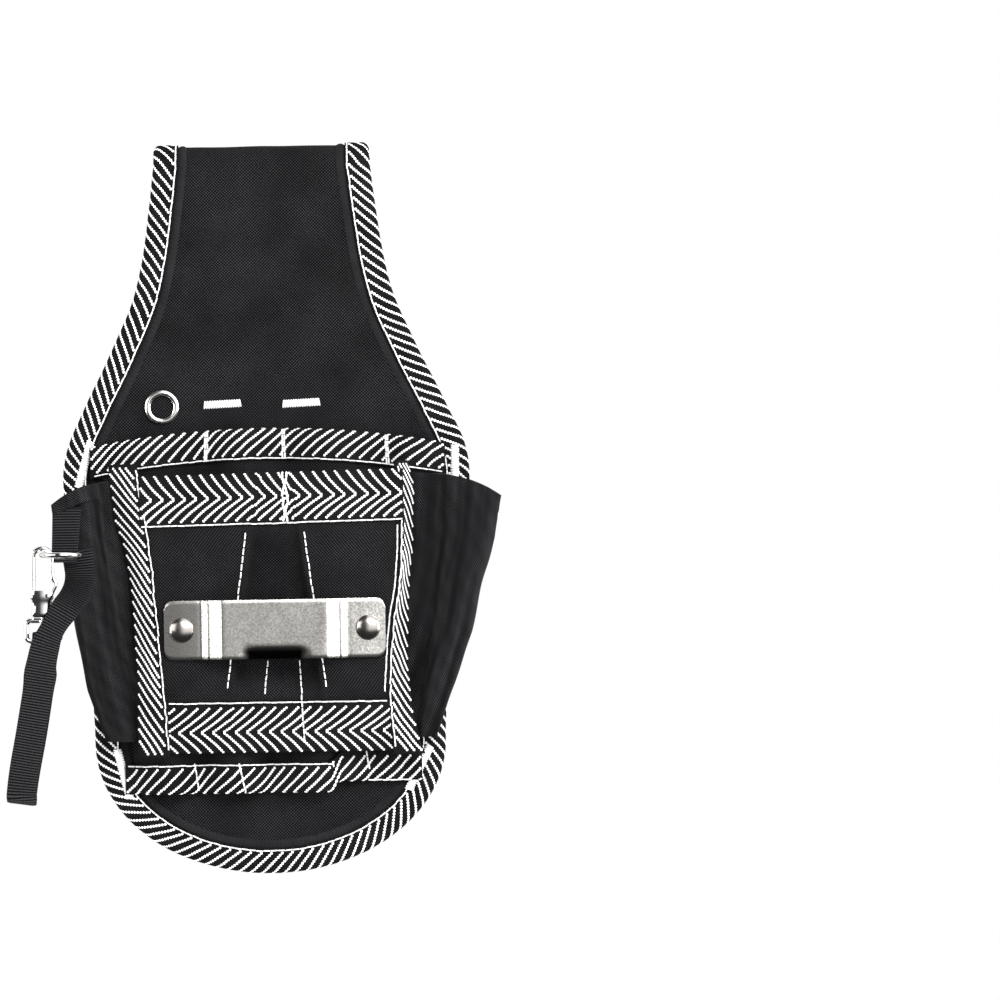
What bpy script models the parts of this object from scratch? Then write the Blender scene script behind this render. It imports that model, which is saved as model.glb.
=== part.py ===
"""Electrician tool pouch: a folded cloth back with a belt loop, five tool pockets, a riveted
tape-measure clip and a webbing strap that hangs from a D-ring by a swivel snap hook.

Lengths are in millimetres and become metres as each mesh is made. +X is right, the front faces
-Y and +Z is up. The origin is the belt seat, in the middle of the underside of the top fold. A
"drop" is a distance down from the top edge."""

import math

import bmesh
import bpy
from mathutils import Vector

MM = 0.001
GAP = 0.3  # clearance between pieces that touch

# Cloth back: three layers, folded over at the top into the belt loop
FACE, FOAM, LINING = 0.8, 1.2, 0.6
PANEL = FACE + GAP + FOAM + GAP + LINING
TUNNEL = 7.0
FOLD_R = (2 * PANEL + TUNNEL) / 2
TOP = PANEL
EDGE_KEYS = (
    (0, 37.2), (28, 39.9), (48.6, 43.8), (69, 52.2), (90, 62.5), (105, 68.8), (113, 69.9), (205, 60.3)
)
BOTTOM_DROP, BOTTOM_RX, BOTTOM_RZ = 205.0, 60.3, 45.3
FLAP_END, FLAP_HALF_END = 97.0, 27.0
FLAP_LEAVES, FLAP_LANDS = 62.0, 84.0
FLAP_STANDOFF = 1.3

# Binding tape
TAPE, TAPE_LEG = 0.6, 8.5
EDGE_INSET = TAPE + 0.4

# Eyelet and bar tacks
EYELET_X, EYELET_DROP, EYELET_R, EYELET_HOLE_R = -35.5, 89.4, 5.8, 3.9
EYELET_FACE_HOLE, EYELET_FOAM_HOLE = 4.8, 7.0
EYELET_CLINCH_R, EYELET_WASHER_R = 5.4, 6.4
LOOP_TACKS_X, LOOP_TACK_DROP = (-14.7, 12.4), 89.0
TACK_THICK = 0.8

# Pockets: (drop, left x, right x) at the top and the bottom of each panel
CLOTH = 0.8
REAR_TOP, REAR_BOTTOM = (101.0, -57.0, 57.6), (221.0, -46.0, 45.0)
REAR_SEAMS_TOP, REAR_SEAMS_BOTTOM = (-20.3, 6.1, 41.5), (-24.0, 0.0, 33.0)
REAR_SEAT, REAR_BULGE = 2.1, 6.0
FRONT_TOP, FRONT_BOTTOM = (114.4, -38.2, 44.8), (206.0, -33.4, 40.0)
FRONT_SEAM_TOP, FRONT_SEAM_BOTTOM = 6.5, 5.0
FRONT_SEAT, FRONT_BULGE = 10.2, 6.6
FRONT_CLOSES = 184.0
SIDE_END = 204.0

# Tape-measure clip
CLIP_X, CLIP_DROP, CLIP_LONG, CLIP_TALL, CLIP_THICK = 2.5, 166.0, 75.7, 20.2, 1.0
CLIP_BACK, CLIP_RISE, CLIP_CORNER = 17.2, 6.0, 3.0
RIVET_OFFSET, RIVET_HEAD_R, RIVET_SHANK_R = 31.8, 4.3, 1.5

# Strap hardware
HINGE_Y, HINGE_DROP, RING_X = -24.0, 139.5, -69.5
RING_WIRE, RING_HALF, RING_STRAIGHT = 1.0, 6.5, 7.0
WEB_WIDE, WEB_THICK = 10.0, 1.2
HOOK_X, HOOK_Y = RING_X - RING_HALF, HINGE_Y - 6.5
CLAW_R, CLAW_WIRE = 3.2, 0.9
STEM_HALF, STEM_DEEP = 3.2, 2.2
EYE_HALF, EYE_TALL, EYE_WIRE = 5.7, 7.0, 0.9
EYE_WEB_WIDE = 7.4  # the webbing is gathered where it passes through the eye
# The strap's two legs, each a list of (x, y, drop), and the fold between them
STRAP_REAR_LEG = ((-76.6, -28.6, 174.7), (-77.8, -26.0, 184), (-80.6, -23.2, 200), (-83.2, -22.7, 213))
STRAP_FOLD, STRAP_FOLD_R = (-84.4, -26.0, 220.4), 3.2
STRAP_LEAN = 0.6  # the steepest slope that the webbing's width takes
STRAP_FRONT_LEG = (
    (-83.2, -29.6, 212), (-80.8, -31.6, 200), (-78.2, -33.4, 186), (-76.3, -34.8, 175), (-74.3, -35.4, 168),
    (-71.4, -35.4, 162.5), (-68.4, -34.8, 158), (-65.8, -31.2, 154.6), (-64.0, -26.6, 151),
    (-63.0, -22.6, 147.5),
    (-62.6, -20.9, 144.5),
)


# The pieces are laid out with the front cloth at y = 0, and this empty sets the belt seat at the origin.
for old in list(bpy.data.objects):
    bpy.data.objects.remove(old, do_unlink=True)
POUCH = bpy.data.objects.new("pouch_frame", None)
POUCH.location = (0, -FOLD_R * MM, 0)
bpy.context.collection.objects.link(POUCH)


def z_at(drop):
    return TOP - drop


HINGE = Vector((RING_X, HINGE_Y, z_at(HINGE_DROP)))
WIRE_Z = z_at(HINGE_DROP)
CLAW_Z = WIRE_Z - 0.9
STEM_TOP, STEM_BOTTOM = WIRE_Z - 12.0, WIRE_Z - 21.0
GATE_PIVOT = Vector((HOOK_X + 1.7, HOOK_Y, STEM_TOP - 1.8))
EYE_TOP = STEM_BOTTOM - 1.2


# ---------------------------------------------------------------- materials and meshes
LOOKS = {
    "cloth": ((0.016, 0.016, 0.018, 1), 0.9, 0.0),
    "tape": ((0.30, 0.30, 0.30, 1), 0.85, 0.0),
    "foam": ((0.05, 0.05, 0.05, 1), 0.95, 0.0),
    "thread": ((0.80, 0.80, 0.78, 1), 0.7, 0.0),
    "webbing": ((0.02, 0.02, 0.022, 1), 0.8, 0.0),
    "steel": ((0.62, 0.61, 0.58, 1), 0.25, 1.0),
}


def material(name, look):
    colour, roughness, metallic = LOOKS[look]
    made = bpy.data.materials.new(name)
    made.use_nodes = True
    shader = made.node_tree.nodes["Principled BSDF"]
    shader.inputs["Base Color"].default_value = colour
    shader.inputs["Roughness"].default_value = roughness
    shader.inputs["Metallic"].default_value = metallic
    return made


def add_mesh(name, points, faces, look, pivot=(0, 0, 0)):
    pivot = Vector(pivot)
    mesh = bpy.data.meshes.new(name)
    mesh.from_pydata([(Vector(p) - pivot) * MM for p in points], [], faces)
    shape = bmesh.new()
    shape.from_mesh(mesh)
    bmesh.ops.recalc_face_normals(shape, faces=shape.faces)
    shape.to_mesh(mesh)
    shape.free()
    mesh.shade_smooth()
    mesh.set_sharp_from_angle(angle=math.radians(35))
    mesh.materials.append(material(name, look))
    obj = bpy.data.objects.new(name, mesh)
    obj.parent = POUCH
    obj.location = pivot * MM
    bpy.context.collection.objects.link(obj)
    return obj


def loft(name, loops, look, closed=False, pivot=(0, 0, 0)):
    """A closed body whose skin joins each loop of points to the next."""
    n, points, faces = len(loops[0]), [p for loop in loops for p in loop], []
    for i in range(len(loops) if closed else len(loops) - 1):
        a, b = i * n, (i + 1) % len(loops) * n
        faces += [(a + k, a + (k + 1) % n, b + (k + 1) % n, b + k) for k in range(n)]
    if not closed:
        faces += [tuple(range(n)), tuple(reversed(range(len(points) - n, len(points))))]
    return add_mesh(name, points, faces, look, pivot)


def helper(obj):
    obj.hide_render = True
    obj.display_type = "WIRE"
    return obj


def boolean(obj, other, operation="DIFFERENCE"):
    """other becomes a helper, moved into obj's own space by its world position."""
    modifier = obj.modifiers.new(other.name, "BOOLEAN")
    modifier.operation = operation
    modifier.object = helper(other)
    modifier.solver = "EXACT"


def circle(centre, across, up, radius, steps=16):
    turn = 2 * math.pi / steps
    ways = [math.cos(k * turn) * across + math.sin(k * turn) * up for k in range(steps)]
    return [Vector(centre) + radius * way for way in ways]


X_AXIS, Y_AXIS, Z_AXIS = Vector((1, 0, 0)), Vector((0, 1, 0)), Vector((0, 0, 1))


def turned(name, profile, centre, axis, across, up, look, pivot=(0, 0, 0), steps=24):
    """A solid of revolution without a bore: profile holds (radius, distance along the axis)."""
    loops = [circle(Vector(centre) + h * axis, across, up, r, steps) for r, h in profile]
    return loft(name, loops, look, pivot=pivot)


def turned_ring(name, profile, centre, axis, across, up, look, pivot=(0, 0, 0), steps=24):
    """A ring of revolution: profile is a closed outline of (radius, distance along the axis)."""
    loops = []
    for k in range(steps):
        a = 2 * math.pi * k / steps
        out = math.cos(a) * across + math.sin(a) * up
        loops.append([Vector(centre) + r * out + h * axis for r, h in profile])
    return loft(name, loops, look, closed=True, pivot=pivot)


def box(name, low, high, look, pivot=(0, 0, 0)):
    (x0, y0, z0), (x1, y1, z1) = low, high
    loops = [[(x0, y0, z), (x1, y0, z), (x1, y1, z), (x0, y1, z)] for z in (z0, z1)]
    return loft(name, loops, look, pivot=pivot)


def planar_wire(name, path, normal, radius, look, closed=False, pivot=(0, 0, 0), steps=10):
    """A round wire along a flat path, whose plane has the given normal."""
    loops = []
    for i, p in enumerate(path):
        before = path[i - 1] if i or closed else p
        after = path[(i + 1) % len(path)] if i < len(path) - 1 or closed else p
        along = (after - before).normalized()
        loops.append(circle(p, along.cross(normal), normal, radius, steps))
    return loft(name, loops, look, closed=closed, pivot=pivot)


def ribbon(name, stations, width, thick, look, pivot=(0, 0, 0)):
    """A flat strap. stations holds (middle point, direction across the strap), and that direction's
    length scales the width."""
    loops = []
    for i, (p, across) in enumerate(stations):
        along = stations[min(i + 1, len(stations) - 1)][0] - stations[max(i - 1, 0)][0]
        out = along.cross(across).normalized() * thick / 2
        side = across * width / 2
        loops.append([p - side - out, p + side - out, p + side + out, p - side + out])
    return loft(name, loops, look, pivot=pivot)


def smoothstep(t):
    t = min(max(t, 0.0), 1.0)
    return t * t * (3 - 2 * t)


def mix(a, b, t):
    return a + (b - a) * t


# ---------------------------------------------------------------- cloth back
def half_width(drop):
    """Half the outer width of the bound back, at a drop below the top."""
    if drop >= BOTTOM_DROP:
        return BOTTOM_RX * math.sqrt(max(0.0, 1 - ((drop - BOTTOM_DROP) / BOTTOM_RZ) ** 2))
    keys = EDGE_KEYS
    i = max(k for k in range(len(keys) - 1) if keys[k][0] <= max(drop, 0))
    (d0, w0), (d1, w1) = keys[i], keys[i + 1]

    def slope(k):
        if k in (0, len(keys) - 1):
            return 0.0
        before = (keys[k][1] - keys[k - 1][1]) / (keys[k][0] - keys[k - 1][0])
        after = (keys[k + 1][1] - keys[k][1]) / (keys[k + 1][0] - keys[k][0])
        return 0.0 if before * after <= 0 else 2 * before * after / (before + after)

    t, span = (max(drop, 0) - d0) / (d1 - d0), d1 - d0
    m0, m1 = slope(i) * span, slope(i + 1) * span
    ends = (2 * t**3 - 3 * t**2 + 1) * w0 + (3 * t**2 - 2 * t**3) * w1
    return ends + (t**3 - 2 * t**2 + t) * m0 + (t**3 - t**2) * m1


def flap_half(drop):
    return mix(EDGE_KEYS[0][1], FLAP_HALF_END, smoothstep((drop - 55) / 30))


def flap_y(drop):
    landed = 2 * PANEL + FLAP_STANDOFF
    return mix(2 * FOLD_R, landed, smoothstep((drop - FLAP_LEAVES) / (FLAP_LANDS - FLAP_LEAVES)))


def back_path(first_angle, inset=0.0):
    """(y, z, half width) of the cloth's outer face: up the front, over the fold, down the flap.
    The inset draws the outline in, so that the tape has room round the edge."""
    path = []
    for k in range(13):
        a = math.radians(mix(first_angle, 0, k / 12))
        drop = BOTTOM_DROP + (BOTTOM_RZ - inset) * math.sin(a)
        path.append((0.0, z_at(drop), (BOTTOM_RX - inset) * math.cos(a)))
    for drop in (190, 170, 150, 130, 118, 110, 104, 97, 90, 83, 76, 69, 62, 55, 48, 40, 30, 20, 12):
        path.append((0.0, z_at(drop), half_width(drop) - inset))
    for k in range(9):
        a = math.radians(180 - 22.5 * k)
        y, z = FOLD_R + FOLD_R * math.cos(a), TOP - FOLD_R + FOLD_R * math.sin(a)
        path.append((y, z, half_width(0) - inset))
    for drop in (20, 35, 50, 56, 61, 65, 69, 73, 77, 81, 85, 91, FLAP_END):
        path.append((flap_y(drop), z_at(drop), flap_half(drop) - inset))
    return path


def path_normals(path):
    """The outward normal (y, z) at each point of back_path."""
    normals = []
    for i in range(len(path)):
        (y0, z0, _), (y1, z1, _) = path[max(i - 1, 0)], path[min(i + 1, len(path) - 1)]
        length = math.hypot(y1 - y0, z1 - z0)
        normals.append(Vector((0, -(z1 - z0) / length, (y1 - y0) / length)))
    return normals


def back_layer(name, outer_depth, inner_depth, look, hole_radius=0.0):
    path = back_path(84, EDGE_INSET)
    loops = []
    for (y, z, w), n in zip(path, path_normals(path)):
        outer, inner = Vector((0, y, z)) - n * outer_depth, Vector((0, y, z)) - n * inner_depth
        loops.append([outer - X_AXIS * w, outer + X_AXIS * w, inner + X_AXIS * w, inner - X_AXIS * w])
    layer = loft(name, loops, look)
    if hole_radius:
        sides = [(hole_radius, -5), (hole_radius, inner_depth + GAP / 2)]
        centre = (EYELET_X, 0, z_at(EYELET_DROP))
        boolean(layer, turned(name + "_eyelet_hole", sides, centre, Y_AXIS, X_AXIS, Z_AXIS, look))


def edge_binding():
    """One tape folded round the whole edge, from one end of the flap to the other."""
    path = back_path(90)
    normals = path_normals(path)
    right = [(Vector((w, y, z)), n) for (y, z, w), n in zip(path, normals)]
    left = [(Vector((-p.x, p.y, p.z)), n) for p, n in right]
    edge = list(reversed(left)) + right[1:]
    back = PANEL + GAP + 0.15
    section = (
        (TAPE_LEG, GAP + TAPE), (0, GAP + TAPE), (0, -back - TAPE), (TAPE_LEG, -back - TAPE),
        (TAPE_LEG, -back), (TAPE, -back), (TAPE, GAP), (TAPE_LEG, GAP),
    )
    loops = []
    for i, (p, n) in enumerate(edge):
        along = (edge[min(i + 1, len(edge) - 1)][0] - edge[max(i - 1, 0)][0]).normalized()
        inward = n.cross(along).normalized()
        loops.append([p + inward * a + n * b for a, b in section])
    loft("edge_binding", loops, "tape")


def tack(name, start, end, y, width):
    """A dense block of thread from start to end, both (x, drop)."""
    a, b = Vector((start[0], 0, z_at(start[1]))), Vector((end[0], 0, z_at(end[1])))
    side = (b - a).normalized().cross(Y_AXIS) * width / 2
    loops = []
    for depth in (y, y - TACK_THICK * 0.6, y - TACK_THICK):
        s = side * (0.8 if depth == y - TACK_THICK else 1.0)
        loops.append([p + Vector((0, depth, 0)) for p in (a - s, b - s, b + s, a + s)])
    loft(name, loops, "thread")


def cloth_back():
    back_layer("back_panel_face", 0, FACE, "cloth", hole_radius=EYELET_FACE_HOLE)
    back_layer("back_panel_foam", FACE + GAP, FACE + GAP + FOAM, "foam", hole_radius=EYELET_FOAM_HOLE)
    back_layer("back_panel_lining", PANEL - LINING, PANEL, "cloth")
    edge_binding()
    for side, x in zip(("left", "right"), LOOP_TACKS_X):
        tack(f"belt_loop_tack_{side}", (x - 6.5, LOOP_TACK_DROP), (x + 6.5, LOOP_TACK_DROP), -GAP, 3.0)
    over = -(GAP + TAPE + 0.5)
    tack("upper_corner_tack_left", (-60.2, 101), (-64.6, 116.5), over, 2.7)
    tack("upper_corner_tack_right", (65.0, 104.3), (64.8, 115.4), over, 2.7)
    tack("lower_corner_tack_left", (-52.7, 207), (-48.7, 223.5), over, 2.7)
    tack("lower_corner_tack_right", (54.8, 207.4), (47.3, 222), over, 2.7)


def eyelet():
    """A two-part eyelet set in the face cloth. It sits in a hole in the foam, in front of the lining."""
    centre = (EYELET_X, 0, z_at(EYELET_DROP))
    tube, washer_front = EYELET_FACE_HOLE - GAP - 0.1, FACE + GAP
    washer_back = washer_front + 0.4
    clinch = washer_back + GAP
    barrel = (
        (EYELET_R, -1.0), (EYELET_R, -GAP), (tube, -GAP), (tube, clinch), (EYELET_CLINCH_R, clinch),
        (EYELET_CLINCH_R, clinch + 0.35), (EYELET_HOLE_R, clinch + 0.35), (EYELET_HOLE_R, -1.0),
        (EYELET_R - 1.2, -1.4), (EYELET_R - 0.6, -1.4),
    )
    turned_ring("eyelet_barrel", barrel, centre, Y_AXIS, X_AXIS, Z_AXIS, "steel")
    washer = [
        (EYELET_FACE_HOLE, washer_front), (EYELET_WASHER_R, washer_front),
        (EYELET_WASHER_R, washer_back), (EYELET_FACE_HOLE, washer_back),
    ]
    turned_ring("eyelet_washer", washer, centre, Y_AXIS, X_AXIS, Z_AXIS, "steel")


# ---------------------------------------------------------------- pockets
def soft_rise(share, steps=7):
    """(place, height), each 0 to 1, where cloth leaves a seam that lies flat."""
    return [(share * k / steps, smoothstep(k / steps)) for k in range(steps + 1)]


def steep_rise(share, steps=7):
    """(place, height) where cloth stands straight up from a side seam and rounds over."""
    turn = math.pi / 2 / steps
    return [(share * (1 - math.cos(k * turn)), math.sin(k * turn)) for k in range(steps + 1)]


def sleeve(left, right, bulge, rising, falling):
    """(x, bulge) across one sleeve, from its left seam to its right seam."""
    places = rising + [(0.5, 1.0)] + [(1 - u, h) for u, h in reversed(falling)]
    return [(mix(left, right, u), bulge * h) for u, h in places]


def rear_edges(drop):
    t = (drop - REAR_TOP[0]) / (REAR_BOTTOM[0] - REAR_TOP[0])
    ends = [mix(a, b, t) for a, b in zip(REAR_TOP[1:], REAR_BOTTOM[1:])]
    seams = [mix(a, b, t) for a, b in zip(REAR_SEAMS_TOP, REAR_SEAMS_BOTTOM)]
    return [ends[0], *seams, ends[1]]


def rear_row(drop):
    """(x, y) of the rear pocket panel's outer face at a drop, left to right."""
    edges, row = rear_edges(drop), []
    for left, right in zip(edges, edges[1:]):
        bulge = min(REAR_BULGE, 0.45 * (right - left - 9))
        wave = sleeve(left, right, bulge, soft_rise(0.45), soft_rise(0.45))
        row = row[:-1] + [Vector((x, -REAR_SEAT - out)) for x, out in wave]
    return row


def front_edges(drop):
    t = (drop - FRONT_TOP[0]) / (FRONT_BOTTOM[0] - FRONT_TOP[0])
    left, right = (mix(a, b, t) for a, b in zip(FRONT_TOP[1:], FRONT_BOTTOM[1:]))
    return [left, mix(FRONT_SEAM_TOP, FRONT_SEAM_BOTTOM, t), right]


def front_row(drop):
    """(x, y) of the front pocket's outer face, which closes on the rear panel at the bottom."""
    edges, row = front_edges(drop), []
    full = 1 - smoothstep((drop - FRONT_CLOSES) / (FRONT_BOTTOM[0] - FRONT_CLOSES))
    outer, middle = steep_rise(0.2), soft_rise(0.3)
    for left, right, rising, falling in (
        (edges[0], edges[1], outer, middle), (edges[1], edges[2], middle, outer)
    ):
        wave = sleeve(left, right, FRONT_BULGE * full, rising, falling)
        row = row[:-1] + [Vector((x, -FRONT_SEAT - out)) for x, out in wave]
    return row


def offset(row, distance):
    """The row moved along its own normal, away from the back for a positive distance."""
    moved = []
    for i, p in enumerate(row):
        along = (row[min(i + 1, len(row) - 1)] - row[max(i - 1, 0)]).normalized()
        moved.append(p + Vector((along.y, -along.x)) * distance)
    return moved


def cloth_wall(name, rows, thick=CLOTH, look="cloth"):
    """rows holds (z of each point, row of outer points); the wall's thickness goes inwards."""
    loops = []
    for heights, row in rows:
        inner = offset(row, -thick)
        outer_loop = [(p.x, p.y, z) for p, z in zip(row, heights)]
        inner_loop = [(p.x, p.y, z) for p, z in zip(inner, heights)]
        loops.append(outer_loop + inner_loop[::-1])
    return loft(name, loops, look)


def level(drop, row):
    return [z_at(drop)] * len(row), row


def folded_tape(name, row_at, edge_drop, leg_out, leg_in, sign=1):
    """A tape folded over a pocket's edge. sign is 1 on a top edge and -1 on a bottom edge."""
    near, far = GAP, GAP + TAPE
    front, back = edge_drop + sign * leg_out, edge_drop + sign * leg_in
    corners = (
        (front, front, far), (edge_drop, edge_drop - sign * far, far),
        (edge_drop, edge_drop - sign * far, -CLOTH - far), (back, back, -CLOTH - far),
        (back, back, -CLOTH - near), (edge_drop, edge_drop - sign * near, -CLOTH - near),
        (edge_drop, edge_drop - sign * near, near), (front, front, near),
    )
    lines = [
        [(p.x, p.y, z_at(drop)) for p in offset(row_at(level_drop), out)] for level_drop, drop, out in corners
    ]
    return loft(name, list(zip(*lines)), "tape")


def rear_pocket():
    cloth_wall("rear_pocket_panel", [level(d, rear_row(d)) for d in (101, 130, 160, 190, 221)])
    folded_tape("rear_pocket_top_tape", rear_row, REAR_TOP[0], 9, 9)
    folded_tape("rear_pocket_bottom_tape", rear_row, REAR_BOTTOM[0], 9, 9, sign=-1)


def front_pocket():
    drops = (114.4, 135, 160, 184, 191, 195, 200, 206)
    panel = cloth_wall("front_pocket_panel", [level(d, front_row(d)) for d in drops])
    for side, x in rivet_places():
        hole = turned(
            f"front_pocket_rivet_hole_{side}", [(2.0, -22), (2.0, -11)], (x, 0, z_at(CLIP_DROP)), Y_AXIS,
            X_AXIS, Z_AXIS, "cloth",
        )
        boolean(panel, hole)
    folded_tape("front_pocket_top_tape", front_row, FRONT_TOP[0], 16, 9)
    band = []
    for drop in (191, 195, 200, 206):
        row = offset(front_row(drop), GAP + TAPE + 0.1)
        band.append(level(drop, row))
    cloth_wall("front_pocket_bottom_tape", band, TAPE, "tape")


def seam_tapes():
    """Flat strips that close the side seams of the front pocket."""
    left = (
        (110.5, -43.6, -51.8), (130, -39.9, -49.4), (150, -38.2, -46.6), (181, -35.7, -44.7),
        (208, -33.9, -44.3),
    )
    right = ((110.5, 46.6, 51.0), (130, 46.6, 50.6), (150, 45.0, 49.6), (181, 42.0, 47.6), (208, 42.6, 51.5))
    proud, thick = FRONT_SEAT + 1.4, 1.6
    loops = []
    for drop, inner, outer in left:
        y, z = -proud, z_at(drop)
        loops.append([(inner, y, z), (outer, y, z), (outer, y - thick, z), (inner, y - thick, z)])
    loft("left_seam_tape", loops, "tape")
    loops = []
    for drop, inner, outer in right:
        y, z = -proud, z_at(drop)
        back = y + 3.4
        loops.append(
            [(inner, y, z), (outer, back, z), (outer + 1.4, back - 0.8, z), (inner + 0.6, y - thick, z)]
        )
    loft("right_seam_tape", loops, "tape")


def rounded(points, each=4):
    """A smooth plan curve through the points."""
    curve = []
    for i in range(len(points) - 1):
        p0, p1, p2, p3 = (Vector(points[min(max(k, 0), len(points) - 1)]) for k in (i - 1, i, i + 1, i + 2))
        for k in range(each):
            t = k / each
            bend = (2 * p0 - 5 * p1 + 4 * p2 - p3) * t**2 + (3 * p1 - p0 - 3 * p2 + p3) * t**3
            curve.append(0.5 * (2 * p1 + (p2 - p0) * t + bend))
    return curve + [Vector(points[-1])]


def side_pocket(name, sign, keys):
    """An open cloth channel from the seam tape round to the edge of the back. keys holds, for
    each level, its drop, how far the corner hangs lower, the seam x, the corner x, the depth and
    how far forward the seam is."""
    rows = []
    for drop, hang, seam, corner, depth, start in keys:
        wide, foot = corner - seam, max(-rear_edges(drop)[0], rear_edges(drop)[-1]) + 1.3
        plan = [
            (seam, start), (seam + 0.22 * wide, start), (seam + 0.45 * wide, mix(start, depth, 0.75)),
            (seam + 0.7 * wide, depth), (corner - 0.06 * wide, mix(depth, 2.0, 0.18)),
            (corner, mix(depth, 2.0, 0.42)), (corner - 0.05 * wide, mix(depth, 2.0, 0.75)),
            (mix(corner, foot, 0.35), 2.9), (foot, 2.5),
        ]
        curve = rounded([(sign * x, -y) for x, y in plan])
        if sign < 0:
            curve = curve[::-1]
        heights = [z_at(drop + hang * smoothstep((abs(p.x) - seam) / (corner - seam))) for p in curve]
        rows.append((heights, curve))
    return cloth_wall(name, rows, 0.7)


def side_pockets():
    left = (
        (114.5, 8.0, 45.5, 73.0, 17.6, 9.3), (133, 3.0, 44.0, 71.2, 17.0, 9.3),
        (150, 1.0, 41.5, 68.4, 15.8, 9.3), (168, 0.0, 40.0, 65.4, 13.6, 9.3),
        (186, 0.0, 39.5, 62.4, 11.4, 9.3), (SIDE_END, 0.0, 39.5, 56.5, 9.6, 9.2),
    )
    right = (
        (113.5, 8.0, 48.0, 80.4, 15.5, 6.3), (133, 3.0, 47.5, 78.4, 15.0, 6.3),
        (150, 1.0, 46.5, 73.8, 14.2, 6.3), (168, 0.0, 45.0, 69.6, 12.8, 6.3),
        (186, 0.0, 44.8, 63.6, 10.4, 6.3), (SIDE_END, 0.0, 45.2, 57.0, 7.4, 6.2),
    )
    side_pocket("left_side_pocket", -1, left)
    side_pocket("right_side_pocket", 1, right)


# ---------------------------------------------------------------- tape-measure clip
def rivet_places():
    return (("left", CLIP_X - RIVET_OFFSET), ("right", CLIP_X + RIVET_OFFSET))


def clip_outline():
    """(x from the middle, rise) of the plate's back face, one half: ear, two bends, bridge."""
    half = CLIP_LONG / 2
    steps = (
        (half, 0), (25.0, 0), (23.9, 0.5), (22.9, 2.2), (22.0, 2.8), (20.6, 2.8), (19.8, 3.2), (18.6, 5.4),
        (17.6, CLIP_RISE), (0.0, CLIP_RISE),
    )
    left = [Vector((-x, -y)) for x, y in steps]
    return left + [Vector((-p.x, p.y)) for p in reversed(left[:-1])]


def tape_clip():
    low, high = z_at(CLIP_DROP) - CLIP_TALL / 2, z_at(CLIP_DROP) + CLIP_TALL / 2
    outline = [p + Vector((CLIP_X, -CLIP_BACK)) for p in clip_outline()]
    plate = cloth_wall(
        "tape_clip_plate", [([z] * len(outline), offset(outline, CLIP_THICK)) for z in (low, high)],
        CLIP_THICK, "steel",
    )
    for side, x in rivet_places():
        hole = turned(
            f"clip_rivet_hole_{side}", [(1.9, -20), (1.9, -16)], (x, 0, z_at(CLIP_DROP)), Y_AXIS, X_AXIS,
            Z_AXIS, "steel",
        )
        boolean(plate, hole)
        sign = -1 if side == "left" else 1
        end = CLIP_X + sign * CLIP_LONG / 2
        for up in (-1, 1):
            edge = z_at(CLIP_DROP) + up * CLIP_TALL / 2
            corner = [
                (end + sign, edge - up * CLIP_CORNER), (end + sign, edge + up),
                (end - sign * CLIP_CORNER, edge + up),
            ]
            arc = [math.radians(15 + 15 * k) for k in range(5)]
            bend_x, bend_z = end - sign * CLIP_CORNER, edge - up * CLIP_CORNER
            curve = [
                (bend_x + sign * CLIP_CORNER * math.sin(a), bend_z + up * CLIP_CORNER * math.cos(a)) for a in arc
            ]
            outline_xz = corner + [(bend_x, edge)] + curve + [(end, bend_z)]
            cutter = loft(
                f"clip_corner_{side}_{'top' if up > 0 else 'bottom'}",
                [[(a, y, b) for a, b in outline_xz] for y in (-21, -15)], "steel",
            )
            boolean(plate, cutter)
        front, shank_end = -CLIP_BACK - CLIP_THICK - GAP, -FRONT_SEAT - FRONT_BULGE + 3.5
        head = (
            (RIVET_SHANK_R, shank_end), (RIVET_SHANK_R, front), (RIVET_HEAD_R, front),
            (RIVET_HEAD_R, front - 0.4), (3.9, front - 1.0), (3.0, front - 1.6), (1.6, front - 2.0),
            (0.4, front - 2.1),
        )
        turned(f"clip_rivet_{side}", head, (x, 0, z_at(CLIP_DROP)), Y_AXIS, X_AXIS, Z_AXIS, "steel")
        washer_front = -FRONT_SEAT - FRONT_BULGE + CLOTH + 1.5
        washer = (
            (1.8, washer_front), (2.7, washer_front), (2.7, washer_front + 0.7), (1.8, washer_front + 0.7)
        )
        turned_ring(
            f"clip_rivet_washer_{side}", washer, (x, 0, z_at(CLIP_DROP)), Y_AXIS, X_AXIS, Z_AXIS, "steel"
        )


# ---------------------------------------------------------------- strap and hardware
def webbing_tab():
    """Webbing folded round the D-ring's bar, its two ends sewn together on the pocket's hem."""
    loop_r = RING_WIRE + GAP + WEB_THICK / 2
    y, z = HINGE_Y, WIRE_Z
    path = [(-20.0, z_at(121.5)), (-20.4, z_at(126)), (-21.0, z_at(132))]
    for k in range(9):
        a = math.radians(20 - 27.5 * k)
        path.append((y + loop_r * math.cos(a), z + loop_r * math.sin(a)))
    path += [(-23.6, z_at(132)), (-22.6, z_at(126)), (-21.9, z_at(121.5))]
    stations = [(Vector((RING_X, a, b)), X_AXIS) for a, b in path]
    ribbon("webbing_tab", stations, WEB_WIDE, WEB_THICK, "webbing")


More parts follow.
